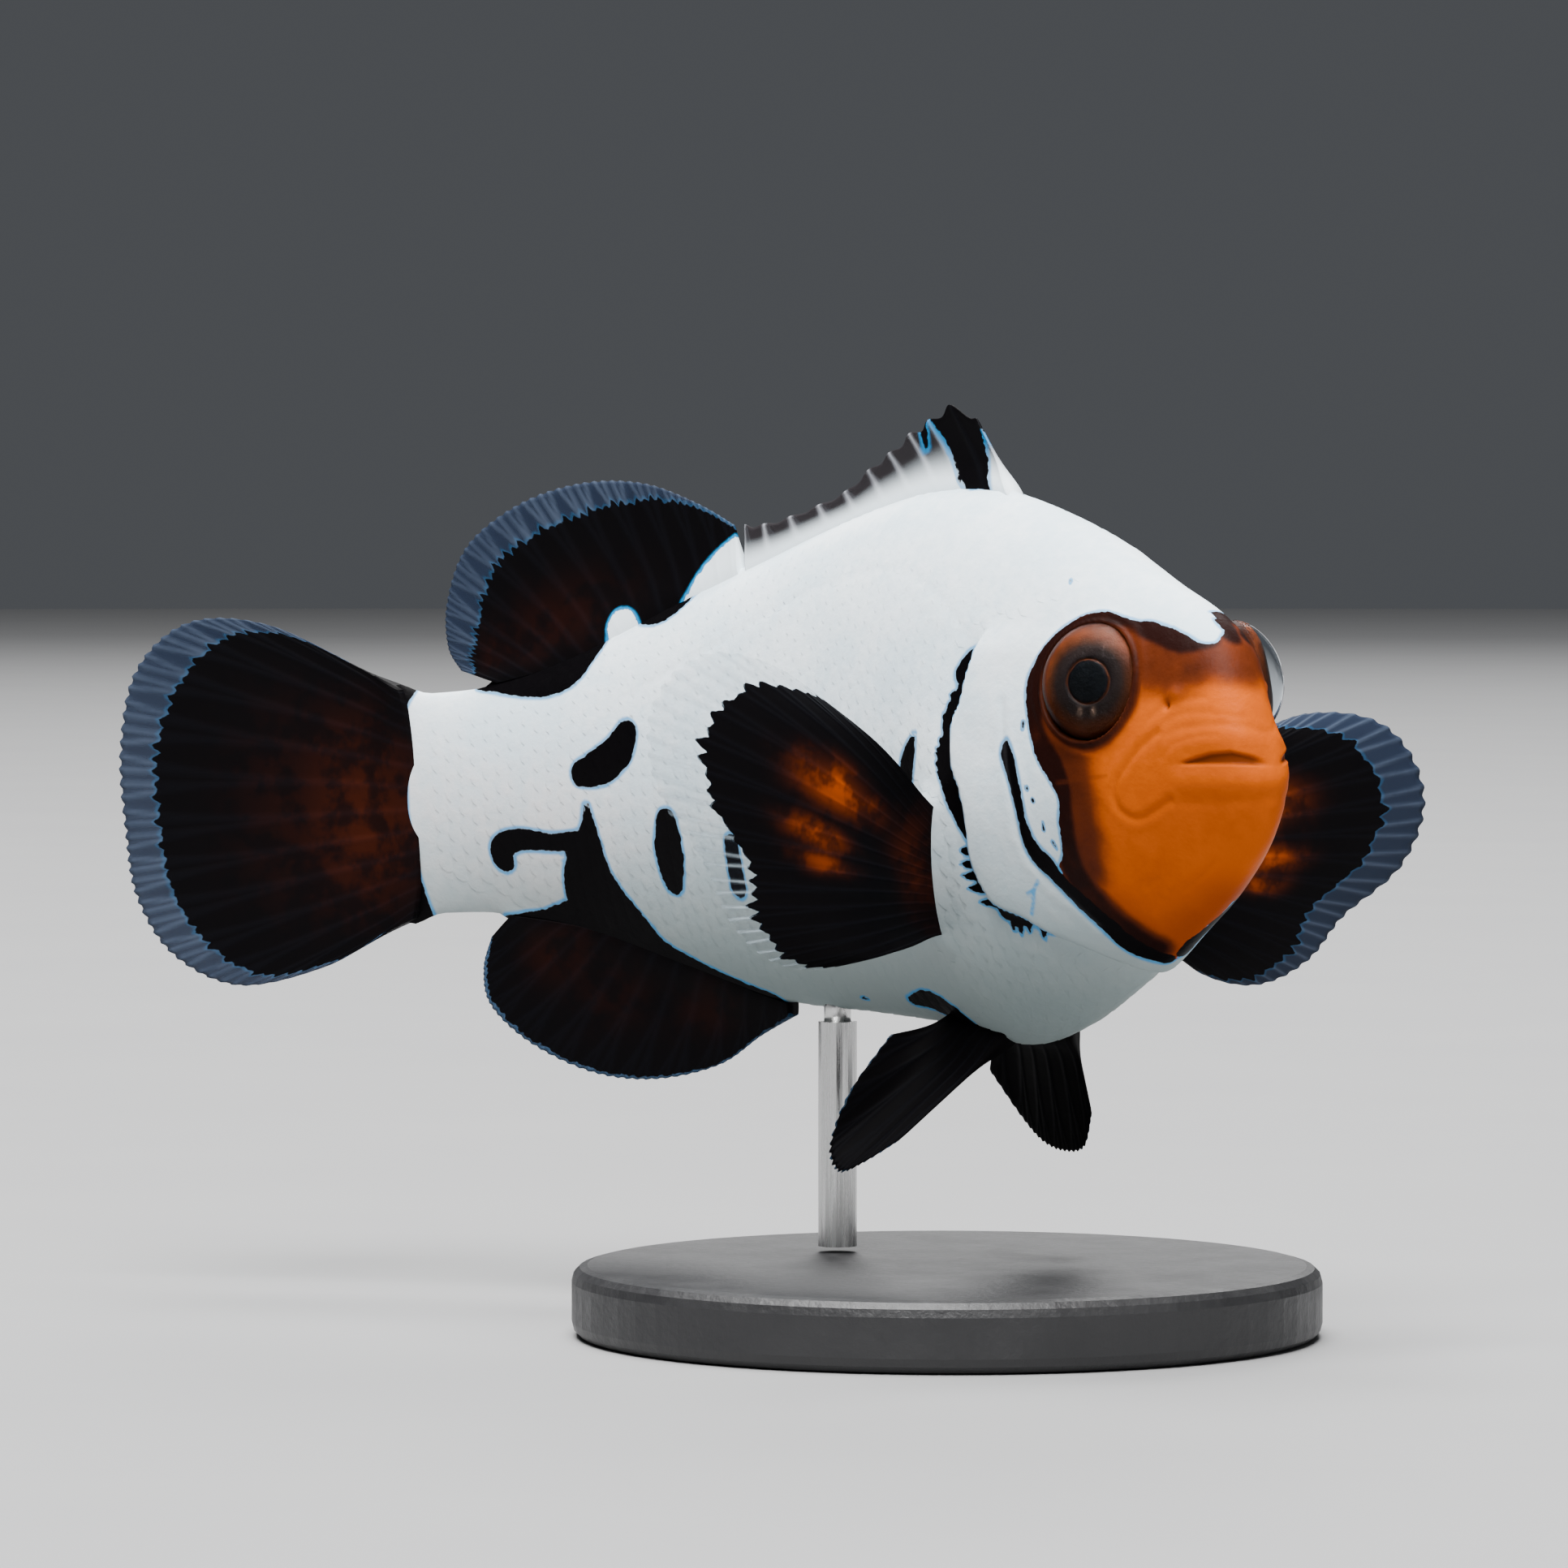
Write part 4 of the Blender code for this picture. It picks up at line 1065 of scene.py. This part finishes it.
class CLOWNFISH_OT_scales(bpy.types.Operator):
    """Thin overlapping scales, joined in two meshes, over the skin"""

    bl_idname = "clownfish.scales"
    bl_label = "Scales"

    def execute(self, context):
        roots = scale_roots()
        roots = roots[scale_cover(skin_points(roots[:, 0], roots[:, 1]))]
        right = roots[:, 1] < 0
        for name, half in (("scales_right", roots[right]), ("scales_left", roots[~right])):
            belongs(self.coat(name, half), "body_skin")
        return {"FINISHED"}

    def coat(self, name, roots):
        """One mesh of closed scales: flat plates in a row first, then each laid at its root."""
        bm = bmesh.new()
        for number in range(len(roots)):
            apart = Matrix.Translation((number * SCALE_APART, 0.0, 0.0))
            bmesh.ops.create_grid(bm, x_segments=SCALE_PARTS, y_segments=SCALE_PARTS, size=0.5, matrix=apart)
        shift_double(bm, bmesh.ops.extrude_face_region(bm, geom=bm.faces[:], use_keep_orig=True), 1.0)
        bm.normal_update()
        for edge in bm.edges:
            edge.smooth = edge.calc_face_angle() < RIM_ANGLE
        flat = coordinates(bm)
        scale = np.rint(flat[:, 0] / SCALE_APART).astype(int)
        along, across = flat[:, 0] - scale * SCALE_APART + 0.5, flat[:, 1] * 2
        rounded = along - SCALE_ROUND * along * across**2
        narrowed = across * (1.0 - SCALE_NARROW * (1.0 - along) ** 2)
        lift = sizes().scale_lift / MM * (0.3 + 0.7 * along) * (1.0 - 0.5 * across**2)
        lift += SCALE_THICK * (flat[:, 2] - 1.0) - SCALE_SINK * (1.0 - along) ** 3

        row, turn = roots[scale].T
        station = skin_points(row, turn)[:, 0] + (rounded - SCALE_AHEAD) * SCALE_SIZE[0]
        there = row_of(station)
        chord = skin_points(there, turn + STEP) - skin_points(there, turn - STEP)
        girth = np.linalg.norm(chord, axis=1) / (2 * STEP)
        angle = turn + narrowed * SCALE_SIZE[1] / 2 / girth
        straight = skin_points(there, angle)
        rise, _ = relief(straight)
        settle(bm, uneven(straight + skin_normals(there, angle) * (rise + lift)[:, None]))
        u = MAP_EDGE + MAP_WIDE * section(row)[0] / SCALE_TO + SCALE_PATCH * along
        v = MAP_EDGE + MAP_WIDE * np.abs(turn) / math.pi + SCALE_PATCH / 2 * across
        layer = bm.loops.layers.uv.new("OFBake")
        bm.verts.index_update()
        for face in bm.faces:
            for loop in face.loops:
                loop[layer].uv = (u[loop.vert.index], v[loop.vert.index])
        return object_from(bm, name, skin_look(), body_numbers(straight))


# ---- eyes


class CLOWNFISH_OT_eyes(bpy.types.Operator):
    """Eyeballs turned about their own axes, each under a clear cornea"""

    bl_idname = "clownfish.eyes"
    bl_label = "Eyes"

    # half profiles: distance from the eye's axis, and height along it
    BALL = ((0.0, 2.02), (0.5, 2.01), (0.98, 1.98), (1.1, 1.88), (1.24, 1.97), (1.8, 1.88), (2.3, 1.65),
            (2.6, 1.38), (2.82, 1.0), (2.98, 0.45), (3.0, -0.1), (2.6, -1.0), (1.6, -1.5), (0.0, -1.7))
    CORNEA = ((0.0, 2.66), (0.7, 2.6), (1.4, 2.4), (2.0, 2.05), (2.4, 1.72), (2.74, 1.28), (2.9, 0.95),
              (2.84, 0.93), (2.68, 1.25), (2.34, 1.68), (1.95, 2.0), (1.36, 2.33), (0.68, 2.52), (0.0, 2.58))
    GAZE = 14.0  # degrees that the iris looks further forward than the rim
    # two pale marks under the pupil: fore and aft places, height, half widths
    STREAKS, STREAK_HEIGHT, STREAK_WIDE, STREAK_TALL = (-0.3, 0.3), -1.45, 0.09, 0.22
    PROFILE_FINE, EYE_TURNS = 3, 72

    def execute(self, context):
        ball_look, clear_look = eye_look(), cornea_look()
        for side_name, side in (("left", 1.0), ("right", -1.0)):
            ball = self.turned("eye_ball_" + side_name, self.BALL, ball_look, side, self.GAZE)
            belongs(ball, "eye", "eye_" + side_name)
            cornea = self.turned("cornea_" + side_name, self.CORNEA, clear_look, side)
            belongs(cornea, "eye")
            cornea.visible_shadow = False
        return {"FINISHED"}

    def turned(self, name, profile, look, side, gaze=0.0):
        """A profile spun round the eye's axis and set in its socket."""
        curve = smoothed(profile, self.PROFILE_FINE)
        curve[:, 0] = np.maximum(curve[:, 0], 0.0)
        bm = bmesh.new()
        verts = [bm.verts.new((radius, 0.0, height)) for radius, height in curve]
        edges = [bm.edges.new(pair) for pair in zip(verts[:-1], verts[1:])]
        full = {"cent": (0, 0, 0), "axis": (0, 0, 1), "angle": math.tau, "steps": self.EYE_TURNS}
        bmesh.ops.spin(bm, geom=verts + edges, use_merge=True, **full)
        bmesh.ops.remove_doubles(bm, verts=bm.verts, dist=1e-4)
        local = coordinates(bm)
        axis = Vector(eye_axis(gaze) * (1.0, side, 1.0))
        spun = local @ np.array(axis.to_track_quat("Z", "Y").to_matrix()).T
        fore, rise = spun[:, 0] - axis.x * local[:, 2], spun[:, 2] - axis.z * local[:, 2]
        streak = np.max([bell(fore - place, self.STREAK_WIDE) for place in self.STREAKS], axis=0)
        streak *= bell(rise - self.STREAK_HEIGHT, self.STREAK_TALL) * (local[:, 2] > 0)
        settle(bm, spun + EYE * (1.0, side, 1.0) + np.array(LEFT_EYE_MOVE) * (side > 0))
        numbers = {"rho": np.hypot(local[:, 0], local[:, 1]), "rise": rise, "streak": streak}
        return object_from(bm, name, look, numbers)


# ---- fins


class FinPlan(NamedTuple):
    """How one fin is made. Places across it run from its first ray (0) to its last (1)."""

    rays: tuple  # rows for through(), read by point
    point: object  # point(ray, along) gives places on the middle of the fin, on the straight fish
    count: int  # rays that start at the root
    margins: tuple  # width of the clear margin, evenly spaced across the fin
    glows: tuple = ()  # brown lights: place across and along, their widths, strength
    notch: float = 0.012  # how deep the edge is cut between the rays' tips, as a share of their length
    forks: tuple = (0.42, 0.72)  # where each ray divides, and divides again
    root_half: float = 0.45  # half thickness at the root
    black: tuple = ()  # strokes that alone are black, in place of all inside the margin
    white: tuple = ()  # strokes taken out of the black
    ragged: float = 0.5  # how far the black runs out along the rays
    rows: int = 40
    shift: float = 0.0  # 0.5 sets a ray on each edge of the fin


COLUMNS_PER_RAY = 14
FORK_SPREADS = (0.25, 0.125)  # how far each fork's branches part, as a share of the rays' spacing
FIN_HALF, RAY_HEIGHT = 0.045, 0.03  # half thickness between the rays, and what a ray adds to it
RAY_WIDE, RAY_TAPER = 0.13, 0.07  # a ray's half width at its root, and how much narrower its tip is
TOOTH_LENGTHS, TOOTH_BACK = (0.2, 1.3), 0.35  # of the black's ragged edge: drawn at random, and set back
THIN_FROM = 0.93  # share of its height where a fin starts to thin out, to half at its edge
BURIED = 0.05  # share of a fin's height that lies inside the body


def fin_sheet(plan):
    """A grid and its double, joined at the rim, with each point's place across, along and its side."""
    bm = bmesh.new()
    bmesh.ops.create_grid(bm, x_segments=plan.count * COLUMNS_PER_RAY, y_segments=plan.rows, size=0.5)
    shift_double(bm, bmesh.ops.duplicate(bm, geom=bm.verts[:] + bm.edges[:] + bm.faces[:]), 0.01)
    flat = coordinates(bm)
    side = np.where(flat[:, 2] > 0.0, 1.0, -1.0)
    bmesh.ops.bridge_loops(bm, edges=[edge for edge in bm.edges if edge.is_boundary])
    return bm, flat[:, 0] + 0.5, flat[:, 1] + 0.5, side


def ray_gap(plan, across, along):
    """Distance to the nearest ray or branch, where 1 is the space between two rays at the root."""
    gap = np.abs((across * plan.count + plan.shift) % 1.0 - 0.5)
    for fork, spread in zip(plan.forks, FORK_SPREADS):
        gap = np.abs(gap - spread * np.clip((along - fork) / (1.0 - fork), 0.0, 1.0))
    return gap


def sheet_place(plan, across, along):
    return plan.point(through(plan.rays, across * (len(plan.rays) - 1)), along)


def sheet_normals(plan, across, along):
    """The way the fin's side faces at each point."""
    over = sheet_place(plan, across + STEP, along) - sheet_place(plan, across - STEP, along)
    out = sheet_place(plan, across, along + STEP) - sheet_place(plan, across, along - STEP)
    normal = np.cross(over, out)
    return normal / np.maximum(np.linalg.norm(normal, axis=1, keepdims=True), 1e-9)


def fin_shape(plan, across, along, side):
    """Places of a fin's points, and the values that its look reads."""
    end = np.ones(len(across))
    ridge = bell(ray_gap(plan, across, along), RAY_WIDE - RAY_TAPER * smooth_step(along, 0.3, 1.0))
    branches = 2 ** len(plan.forks)
    tip = 1.0 - np.clip(ray_gap(plan, across, end) * branches / 0.5, 0.0, 1.0)
    reach = 1.0 - plan.notch * 0.5 * (1.0 + np.cos(np.pi * tip)) * smooth_step(along, 0.55, 1.0)
    flow = (1.0 + BURIED) * along * reach - BURIED
    straight = sheet_place(plan, across, flow)
    height = np.linalg.norm(straight - sheet_place(plan, across, 0.0 * end), axis=1) * np.sign(flow)
    left = np.linalg.norm(sheet_place(plan, across, end) - straight, axis=1)

    ridge_share = smooth_step(height, 0.0, 3.0) * (1.0 - 0.6 * along)
    thick = FIN_HALF + RAY_HEIGHT * ridge * ridge_share + plan.root_half * bell(np.maximum(height, 0.0), 1.5)
    thick *= 1.0 - 0.5 * smooth_step(along, THIN_FROM, 1.0)
    shaped = straight + sheet_normals(plan, across, flow) * (side * thick)[:, None]

    margin = through(np.array(plan.margins)[:, None], across * (len(plan.margins) - 1))[:, 0]
    lengths = np.random.default_rng(plan.count).uniform(*TOOTH_LENGTHS, branches * plan.count + 2)
    streak = lengths[(across * plan.count * branches).astype(int)]
    black = margin - left - plan.ragged * np.minimum(margin, 1.0) * (tip * streak - TOOTH_BACK)
    if plan.black:
        black = mid_strokes(straight, plan.black) - 0.15 * ridge
    pale = mid_strokes(straight, plan.white)
    black = np.maximum(black, -pale)
    glow = np.zeros(len(across))
    for place_across, place_along, wide, tall, strength in plan.glows:
        spot = bell(across - place_across, wide) * bell(along - place_along, tall)
        glow = np.maximum(glow, strength * spot * (0.8 + 0.2 * ridge))
    black = np.clip(black, -FAR, FAR)
    return shaped, {"black": black, "pale": pale, "ray": ridge, "glow": glow, "reach": along}


def make_fin(name, look, plan, carrier=None):
    """A fin that stands for the solids' node of that name."""
    bm, across, along, side = fin_sheet(plan)
    shaped, numbers = fin_shape(plan, across, along, side)
    settle(bm, shaped, carrier)
    belongs(object_from(bm, name + "_rays", look, numbers), "fin_membrane", name)


def in_middle(s, z):
    return columns(s, np.zeros(len(s)), z)


def median_point(edge):
    """For a fin on the back (1) or belly (2): its points between the body's edge and the rays' tips."""

    def point(ray, along):
        root = in_middle(ray[:, 0], section(row_of(ray[:, 0]))[edge])
        return between(root, in_middle(ray[:, 1], ray[:, 2]), along)

    return point


TAIL_ROOT, TAIL_SPREAD = 62.7, 1.02


def tail_point(ray, along):
    root = in_middle(np.full(len(ray), TAIL_ROOT), ray[:, 0] * TAIL_SPREAD)
    return between(root, in_middle(ray[:, 1], ray[:, 2]), along)


def mid_strokes(at, strokes):
    """Distance to the nearest of the strokes that lie in the fish's middle plane."""
    best = np.full(len(at), FAR)
    for line in map(smoothed, strokes):
        best = np.minimum(best, line_gap(at[:, (0, 2)], line[:, :2], line[:, 2]))
    return best


SPINY_BLACK = (
    ((22.9, 13.9, 0.6), (23.7, 15.2, 0.95), (24.5, 16.6, 1.2), (25.3, 17.8, 1.3), (26.6, 18.6, 0.9)),
    ((28.2, 18.1, 0.25), (28.0, 17.0, 0.2)),
)
SOFT_WHITE = (
    ((40.8, 12.4, 1.0), (42.6, 10.9, 1.3), (44.2, 9.2, 1.1)),
    ((49.0, 7.8, 1.0), (49.0, 8.6, 0.95)),
)
MIDDLE_FINS = {
    "dorsal_spiny": FinPlan(
        SPINY_RAYS, median_point(1), 10, (0.2, 0.2), notch=0.08, forks=(), black=SPINY_BLACK, shift=0.5
    ),
    "dorsal_soft": FinPlan(
        SOFT_RAYS, median_point(1), 14, (0.2, 0.3, 1.0, 1.7, 1.9, 2.1, 2.2, 1.6, 0.9),
        ((0.62, 0.3, 0.2, 0.2, 0.025), (0.8, 0.4, 0.1, 0.2, 0.03)), white=SOFT_WHITE,
    ),
    "anal": FinPlan(
        ANAL_RAYS, median_point(2), 13, (0.1, 0.12, 0.15, 0.2, 0.25, 0.3, 0.3, 0.25),
        ((0.3, 0.35, 0.1, 0.25, 0.02), (0.55, 0.4, 0.1, 0.25, 0.015), (0.75, 0.3, 0.12, 0.25, 0.03)),
    ),
    "caudal": FinPlan(
        TAIL_RAYS, tail_point, 15, (0.3, 1.3, 2.4, 2.7, 2.2, 2.1, 2.1, 2.2, 1.5, 0.8, 0.4),
        ((0.52, 0.18, 0.22, 0.22, 0.085), (0.5, 0.4, 0.2, 0.2, 0.025)), root_half=0.85, rows=52,
    ),
}


class CLOWNFISH_OT_middle_fins(bpy.types.Operator):
    """Dorsal, tail and anal fins"""

    bl_idname = "clownfish.middle_fins"
    bl_label = "Middle fins"

    def execute(self, context):
        soft = fin_look("soft_fin", 0.14, colour("membrane"), colour("membrane_ray"))
        dark, spine = (0.022, 0.019, 0.021, 1.0), (0.30, 0.31, 0.34, 1.0)
        spiny = fin_look("spiny_fin", 0.3, dark, spine, colour("white"), rim=0.7)
        for name, plan in MIDDLE_FINS.items():
            make_fin("fin_" + name, spiny if name == "dorsal_spiny" else soft, plan)
        return {"FINISHED"}


def pectoral_point(side_name, side):
    back = math.radians(PECTORAL_SWEEP)

    def point(ray, along):
        lift = np.radians(PECTORAL_RAISE[side_name] + ray[:, 1])
        flat = np.cos(lift)
        out = columns(math.sin(back) * flat, math.cos(back) * flat, np.sin(lift))
        middle = on_flank(np.array((PECTORAL_MIDDLE,))) + (0.0, 0.6, 0.0)
        top, foot = np.array((PECTORAL_TOP, PECTORAL_FOOT))
        root = on_flank(top + (foot - top) * ray[:, :1] / (len(PECTORAL_RAYS) - 1))
        spot = between(root, middle + out * ray[:, 2:3], along)
        spot[:, 0] -= PECTORAL_CUP * np.sin(math.pi * np.clip(along, 0.0, 1.0))
        return spot * (1.0, side, 1.0)

    return point


def pelvic_point(side):
    def point(ray, along):
        return between(ray[:, :3], ray[:, 3:], along) * (1.0, side, 1.0)

    return point


class CLOWNFISH_OT_paired_fins(bpy.types.Operator):
    """Pectoral and pelvic fins of both sides"""

    bl_idname = "clownfish.paired_fins"
    bl_label = "Paired fins"

    def execute(self, context):
        membrane, rays = colour("membrane"), colour("membrane_ray")
        clear_rays = colour("white_shade")
        pectoral = {
            "left": fin_look("pectoral_left", 0.08, membrane, rays),
            "right": fin_look("pectoral_right", 0.95, membrane, clear_rays, ray_solid=0.25),
        }
        dark = fin_look("pelvic_fin", 0.3, colour("black"), membrane)
        numbered = tuple((number, *ray) for number, ray in enumerate(PECTORAL_RAYS))
        margins = (0.8, 2.2, 3.0, 3.2, 3.2, 2.6, 1.6, 0.9, 0.5)
        glows = (
            (0.34, 0.42, 0.055, 0.11, 1.0), (0.51, 0.5, 0.035, 0.08, 0.75),
            (0.59, 0.53, 0.03, 0.08, 0.5), (0.5, 0.13, 0.3, 0.07, 0.1),
        )
        for side_name, side in (("left", 1.0), ("right", -1.0)):
            point = pectoral_point(side_name, side)
            plan = FinPlan(numbered, point, 17, margins, glows, ragged=0.6, forks=(0.5,), rows=48)
            make_fin("fin_pectoral_" + side_name, pectoral[side_name], plan, PECTORAL_MIDDLE[0])
            point, edge = pelvic_point(side), (0.08, 0.1, 0.12, 0.12, 0.12)
            plan = FinPlan(PELVIC_RAYS[side_name], point, 6, edge, notch=0.02)
            make_fin("fin_pelvic_" + side_name, dark, plan, PELVIC_CARRIER)
        return {"FINISHED"}


# ---- stand and stage

PIN_RADIUS, PIN_LONG = 0.0007, 0.0024  # m
PIN_SHOWN = 0.3  # share of its length that its middle stands over the rod's top


class CLOWNFISH_OT_stand(bpy.types.Operator):
    """Finishes of the stand's base and rod, which keep their solids' shape"""

    bl_idname = "clownfish.stand"
    bl_label = "Stand"

    def execute(self, context):
        self.dress("stand_base", self.powder_coat())
        steel = self.brushed_steel()
        self.dress("stand_rod", steel)
        self.pin(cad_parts["stand_rod"], steel)
        return {"FINISHED"}

    def pin(self, rod, look):
        """A slim pin that joins the rod's top to the belly."""
        corners = np.array([rod.matrix_world @ vertex.co for vertex in rod.data.vertices])
        x, y, _ = corners.mean(axis=0)
        middle = Matrix.Translation((x, y, corners[:, 2].max() + PIN_SHOWN * PIN_LONG))
        bm = bmesh.new()
        size = {"radius1": PIN_RADIUS, "radius2": PIN_RADIUS, "depth": PIN_LONG}
        bmesh.ops.create_cone(bm, cap_ends=True, segments=32, matrix=middle, **size)
        belongs(object_from(bm, "stand_pin", look), "stand_rod")

    def dress(self, node, look):
        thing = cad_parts[node]
        thing.data.materials.clear()
        thing.data.materials.append(look)

    def powder_coat(self):
        look = Look("powder_coat")
        tone, height = look.grain(2200.0)
        tints = (0.008, 0.008, 0.009, 1.0), (0.018, 0.018, 0.019, 1.0)
        return look.plain(tone, tints, (0.42, 0.58), height, 0.00005)

    def brushed_steel(self):
        look = Look("brushed_rod")
        drawn = look.add("ShaderNodeMapping", Vector=look.where, Scale=(9000.0, 9000.0, 250.0))
        streak = look.noise(drawn.outputs["Vector"], 1.0, 3.0)
        tints = (0.5, 0.5, 0.5, 1.0), (0.68, 0.68, 0.67, 1.0)
        return look.plain(streak, tints, (0.22, 0.36), streak, 0.00001, Metallic=1.0)


VIEW_AZIMUTH, VIEW_ELEVATION = 40.0, 2.0
VIEW_DISTANCE = 0.4
VIEW_LENS = 178.0
VIEW_TARGET = Vector((-0.01163, 0.00104, 0.02762))
FLOOR_RADIUS = 3.0


def towards(azimuth, elevation):
    a, e = math.radians(azimuth), math.radians(elevation)
    return Vector((math.sin(a) * math.cos(e), -math.cos(a) * math.cos(e), math.sin(e)))


def aimed(name, data, azimuth, elevation, distance):
    """A lamp or camera that looks at the model from that direction."""
    thing = bpy.data.objects.new(name, data)
    thing.location = VIEW_TARGET + towards(azimuth, elevation) * distance
    thing.rotation_euler = (-towards(azimuth, elevation)).to_track_quat("-Z", "Y").to_euler()
    bpy.context.scene.collection.objects.link(thing)
    return thing


class CLOWNFISH_OT_stage(bpy.types.Operator):
    """Pale floor, soft studio light and the camera"""

    bl_idname = "clownfish.stage"
    bl_label = "Stage"

    # azimuth, elevation, distance, size in metres and power in watts of each lamp
    LAMPS = (
        ("key", 30.0, 60.0, 1.6, 0.9, 77.0),
        ("top", 250.0, 80.0, 1.6, 1.0, 60.0),
        ("fill", 100.0, 15.0, 1.8, 0.9, 3.0),
        ("rim", 215.0, 35.0, 1.8, 0.8, 12.0),
    )
    SKY, SKY_STRENGTH = (0.50, 0.53, 0.58, 1.0), 0.15

    def execute(self, context):
        self.floor()
        for lamp in self.LAMPS:
            self.lamp(*lamp)
        self.world()
        self.camera(context)
        return {"FINISHED"}

    def floor(self):
        look = Look("pale_floor")
        tone = look.noise(look.where, 40.0, 3.0)
        pale = look.mix(tone, (0.24, 0.24, 0.245, 1.0), (0.265, 0.265, 0.265, 1.0))
        look.wear(Base_Color=pale, Roughness=0.7)
        bm = bmesh.new()
        bmesh.ops.create_circle(bm, cap_ends=True, segments=96, radius=FLOOR_RADIUS)
        floor = object_from(bm, "pale_floor", look.material, smooth=False)

    def lamp(self, name, azimuth, elevation, distance, size, power):
        data = bpy.data.lights.new(name, "AREA")
        data.size = size
        data.energy = power
        aimed(name, data, azimuth, elevation, distance)

    def world(self):
        world = bpy.data.worlds.new("studio")
        world.use_nodes = True
        background = world.node_tree.nodes["Background"]
        background.inputs["Color"].default_value = self.SKY
        background.inputs["Strength"].default_value = self.SKY_STRENGTH
        bpy.context.scene.world = world

    def camera(self, context):
        data = bpy.data.cameras.new("camera")
        data.lens = VIEW_LENS
        data.sensor_width = 36.0
        data.clip_start, data.clip_end = 0.01, 20.0
        context.scene.camera = aimed("camera", data, VIEW_AZIMUTH, VIEW_ELEVATION, VIEW_DISTANCE)


# ---- add-on


def colour_property(name, description, default):
    return bpy.props.FloatVectorProperty(
        name=name, description=description, subtype="COLOR", size=3, min=0.0, max=1.0, default=default
    )


class ClownfishLooks(bpy.types.PropertyGroup):
    scale_lift: bpy.props.FloatProperty(
        name="Scale lift",
        description="How far a scale's free edge stands off the skin",
        default=0.00004,
        unit="LENGTH",
        precision=5,
    )
    white: colour_property("White", "Body white", (0.84, 0.93, 0.98))
    white_shade: colour_property("White shade", "The bluer tone in the body white", (0.66, 0.80, 0.88))
    # Painted shade: the body white darkens to this towards the belly, as in the shade under a top light.
    belly_painted_shade: colour_property("Low white", "Body white near the belly", (0.20, 0.245, 0.235))
    white_warm: colour_property("Warm white", "Tint along the tail stalk", (0.72, 0.62, 0.60))
    orange: colour_property("Orange", "Middle of the face", (0.48, 0.080, 0.0003))
    # Besides the face's own deep tone, also painted shade: the face darkens to this towards the chin.
    deep_orange_and_shade: colour_property("Deep orange", "Sides and chin of the face", (0.28, 0.042, 0.0005))
    dusk_light: colour_property("Light dusk", "Where the face starts to darken", (0.085, 0.0155, 0.004))
    dusk: colour_property("Dusk", "Brow, cheek and the skin round the eye", (0.0105, 0.0026, 0.0018))
    black: colour_property("Black", "Patches and fins", (0.0016, 0.0013, 0.0017))
    rim_blue: colour_property("Rim blue", "Rim round the black patches", (0.002, 0.25, 0.56))
    membrane: colour_property("Fin margin", "Clear margin of the fins", (0.014, 0.021, 0.04))
    membrane_ray: colour_property("Margin rays", "Rays in the clear margin", (0.05, 0.066, 0.10))
    glow: colour_property("Glow", "Brown light in the middle of the fins", (0.4, 0.058, 0.001))


STEPS = (
    CLOWNFISH_OT_skin,
    CLOWNFISH_OT_scales,
    CLOWNFISH_OT_eyes,
    CLOWNFISH_OT_middle_fins,
    CLOWNFISH_OT_paired_fins,
    CLOWNFISH_OT_stand,
    CLOWNFISH_OT_stage,
)


class CLOWNFISH_PT_panel(bpy.types.Panel):
    bl_label = "Clownfish"
    bl_idname = "CLOWNFISH_PT_panel"
    bl_space_type = "VIEW_3D"
    bl_region_type = "UI"
    bl_category = "Clownfish"

    def draw(self, context):
        for step in STEPS:
            self.layout.operator(step.bl_idname)
        for key in ClownfishLooks.__annotations__:
            self.layout.prop(context.scene.clownfish, key)


CLASSES = (ClownfishLooks, *STEPS, CLOWNFISH_PT_panel)


def register():
    for cls in CLASSES:
        bpy.utils.register_class(cls)
    bpy.types.Scene.clownfish = bpy.props.PointerProperty(type=ClownfishLooks)


def unregister():
    del bpy.types.Scene.clownfish
    for cls in reversed(CLASSES):
        bpy.utils.unregister_class(cls)


def main():
    register()
    for step in STEPS:
        family, action = step.bl_idname.split(".")
        getattr(getattr(bpy.ops, family), action)()


if __name__ == "__main__":
    main()
